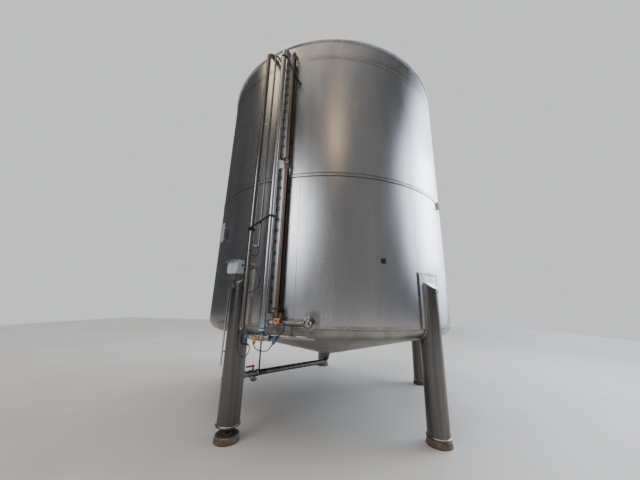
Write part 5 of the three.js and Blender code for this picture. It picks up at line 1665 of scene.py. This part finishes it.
def build_cables():
    routes = {
        "cable_level": (GAUGE_AZ, (
            (98.8, 1791, 1060), (111.5, 1790.4, 1057.7), (122.2, 1788.2, 1049.9), (128.3, 1786, 1038),
            (131, 1783.2, 1025), (131.3, 1780.2, 1011.7), (129.4, 1777, 998.6), (125.5, 1774, 986),
            (119.8, 1770.8, 974.1), (112.5, 1767.4, 963.2), (103.5, 1764.2, 953.8), (93.2, 1761.3, 945.7),
            (81.9, 1759.3, 938.9), (70.1, 1758.2, 932.5), (59.7, 1758, 924.1), (51.4, 1758, 913.6),
            (44.2, 1758, 902.4))),
        "cable_low": (CLEANING_AZ, (
            (-71, 1800, 865.6), (-70.4, 1800, 852.3), (-66, 1800, 839.9), (-57.2, 1800, 830.1),
            (-46.2, 1799.8, 822.9), (-34.3, 1799, 817.2), (-21.8, 1797.8, 812.9), (-9.1, 1796, 809.8),
            (3.7, 1793.3, 807.7), (16.3, 1789.5, 806.7), (28.7, 1784.8, 806.7), (40.6, 1779.3, 808.1),
            (51.4, 1772.8, 811.9), (60.3, 1766.1, 818.9), (67.3, 1760.6, 828.7), (74.1, 1757.3, 839.5),
            (81.1, 1756, 850.6), (88.3, 1755.9, 861.5))),
        "cable_left": (CLEANING_AZ, (
            (-135.6, 1800, 851.8), (-125, 1800, 848.5), (-116.5, 1800, 838), (-112.9, 1800, 817.4),
            (-117.1, 1800, 794.1), (-127, 1800, 772.7), (-143.4, 1800, 755.8), (-165.2, 1800, 746.9),
            (-188.6, 1800, 748.9), (-208.3, 1800.3, 761.6), (-221.9, 1801.1, 780.9),
            (-230.6, 1802.3, 802.9), (-235.9, 1803.5, 825.9), (-239, 1804.6, 849.4), (-240.6, 1805.5, 873),
            (-241, 1806.2, 896.7), (-240.4, 1806.9, 920.4), (-238.9, 1807.4, 944.1),
            (-236.8, 1807.9, 967.7), (-235.2, 1808.2, 991.3), (-235, 1808.3, 1015))),
        "cable_box": (BOX_AZ, (
            (30, 1750, 1488.4), (32, 1764, 1440), (60, 1795, 1370), (110, 1797, 1312), (165, 1780, 1284),
            (215, 1750, 1296), (270, 1738, 1312), (330, 1735, 1350), (352, 1735, 1410), (325, 1735, 1470),
            (260, 1725, 1535), (180, 1725, 1572), (120, 1742, 1570.5), (87, 1742, 1570))),
        "cable_loop": (CONDUIT_AZ, (
            (-6, 1801, 1730.6), (-6, 1801, 1721), (-4, 1801, 1711), (0.6, 1801, 1700.5), (3.4, 1801, 1689),
            (3.5, 1801, 1678), (0.5, 1801, 1667.5), (-5, 1800.5, 1658), (-13, 1800, 1650),
            (-23, 1799, 1645), (-34.5, 1797.5, 1643), (-46, 1795.5, 1643.5), (-57, 1793, 1646.5),
            (-67, 1790.5, 1651.5), (-76, 1788, 1658.5), (-83.5, 1787, 1667), (-88.5, 1787.4, 1677),
            (-91, 1788.2, 1688), (-91.5, 1788.4, 1699.5))),
    }
    for name, (azimuth, places) in routes.items():
        path = smooth_path([at(azimuth, out, up, right) for right, out, up in places], 10)
        cable = Build().tube(path, CABLE_R, 16).piece(name + "_sheath", M_CABLE, node=name)
        boots = Build()
        for tip, reach in ((path[0], path[5]), (path[-1], path[-6])):
            if name == "cable_left" and tip is path[-1]:
                continue
            way = (reach - tip).normalized()
            boots.lathe([(CABLE_R - 0.6, 0.4), (6.6, 0.4), (7.0, 1.2), (6.4, 5), (5.4, 11), (4.7, 14),
                         (CABLE_R - 0.6, 14.4)], aimed(tip, way), 24)
        boots.piece(name + "_boots", M_BLACK)


# Camera, light and floor

def build_camera():
    data = bpy.data.cameras.new("camera")
    data.sensor_width = 36.0
    data.lens = FOCAL_PX * data.sensor_width / IMAGE_W
    camera = bpy.data.objects.new("camera", data)
    SCENE.collection.objects.link(camera)
    forward = Vector((math.sin(CAMERA_YAW) * math.cos(CAMERA_PITCH),
                      math.cos(CAMERA_YAW) * math.cos(CAMERA_PITCH),
                      math.sin(CAMERA_PITCH)))
    level = Vector((math.cos(CAMERA_YAW), -math.sin(CAMERA_YAW), 0))
    upright = level.cross(forward)
    right = math.cos(CAMERA_ROLL) * level + math.sin(CAMERA_ROLL) * upright
    up = -math.sin(CAMERA_ROLL) * level + math.cos(CAMERA_ROLL) * upright
    turn = Matrix((right, up, -forward)).transposed().to_4x4()
    place = Vector((AXIS_X + CAMERA_MM[0] * MM, AXIS_Y + CAMERA_MM[1] * MM, CAMERA_MM[2] * MM))
    camera.matrix_world = Matrix.Translation(place) @ turn
    SCENE.camera = camera


def build_world():
    """A dim even room with soft bright lobes, and a pale backdrop that only the camera sees."""
    world = bpy.data.worlds.new("room")
    SCENE.world = world
    room = Nodes(world)
    coords = room.add("TexCoord", "Generated", {})
    height = room.add("SeparateXYZ", "Z", {"Vector": coords})
    total = WORLD_BASE
    for azimuth, elevation, inner, outer, top, tone in WORLD_LOBES:
        a = math.radians(azimuth)
        e = math.radians(elevation)
        aim = (math.sin(a) * math.cos(e), -math.cos(a) * math.cos(e), math.sin(e))
        near = room.add("VectorMath", "Value", {0: coords, 1: aim}, operation="DOT_PRODUCT")
        glow = room.add("MapRange", "Result", {
            "Value": near,
            "From Min": math.cos(math.radians(outer)),
            "From Max": math.cos(math.radians(inner)),
        }, interpolation_type="SMOOTHERSTEP")
        if top < 90:
            lid = room.add("MapRange", "Result", {
                "Value": height,
                "From Min": math.sin(math.radians(top)),
                "From Max": math.sin(math.radians(top - LID_SOFT)),
            }, interpolation_type="SMOOTHSTEP")
            glow = room.add("Math", "Value", {0: glow, 1: lid}, operation="MULTIPLY")
        part = room.add("VectorMath", "Vector", {0: tone, "Scale": glow}, operation="SCALE")
        total = room.add("VectorMath", "Vector", {0: total, 1: part}, operation="ADD")
    ray = room.add("LightPath", "Is Camera Ray", {})
    seen = room.add("Mix", 2, {"Factor": ray, 6: total, 7: (*BACKDROP, 1.0)}, data_type="RGBA")
    room.links.new(seen, room.nodes["Background"].inputs["Color"])


def area_light(name, azimuth, out, up, size, power, tone):
    """A rectangular light that faces the middle of the tank."""
    light = bpy.data.lights.new(name, "AREA")
    light.shape = "RECTANGLE"
    light.size = size[0]
    light.size_y = size[1]
    light.energy = power
    light.color = tone
    obj = bpy.data.objects.new(name, light)
    SCENE.collection.objects.link(obj)
    place = at(azimuth, out, up)
    aim = at(azimuth, 0, AIM_UP)
    turn = (aim - place).to_track_quat("-Z", "Y")
    obj.matrix_world = Matrix.Translation(place) @ turn.to_matrix().to_4x4()


def build_floor():
    s = Shader("floor")
    s.colour(s.mix(s.patches(EVEN, 0.8, 3.0, 0.5), (0.62, 0.61, 0.59), (0.67, 0.66, 0.64)))
    s.value("Roughness", 0.55)
    s.bump(s.noise(EVEN, 60.0, 3.0, 0.5), 0.05, 0.001)
    steps = spaced(-FLOOR_HALF, FLOOR_HALF, FLOOR_CELLS)
    verts = [(AXIS_X + x, AXIS_Y + y, 0.0) for x in steps for y in steps]
    side = len(steps)
    faces = []
    for i, j in product(range(FLOOR_CELLS), repeat=2):
        k = i * side + j
        faces.append((k, k + side, k + side + 1, k + 1))
    mesh = bpy.data.meshes.new("floor")
    mesh.from_pydata(verts, [], faces)
    mesh.materials.append(s.material)
    floor = bpy.data.objects.new("floor", mesh)
    SCENE.collection.objects.link(floor)


def build_lights():
    for row in LIGHTS:
        area_light(*row)


build_camera()
build_cables()
build_world()
build_lights()
build_floor()
build_shell()
build_seams()
build_legs()
build_gauge()
build_pipes()
build_nozzle()
build_rail()
build_outlet()
build_box()
build_nameplate()
build_small()
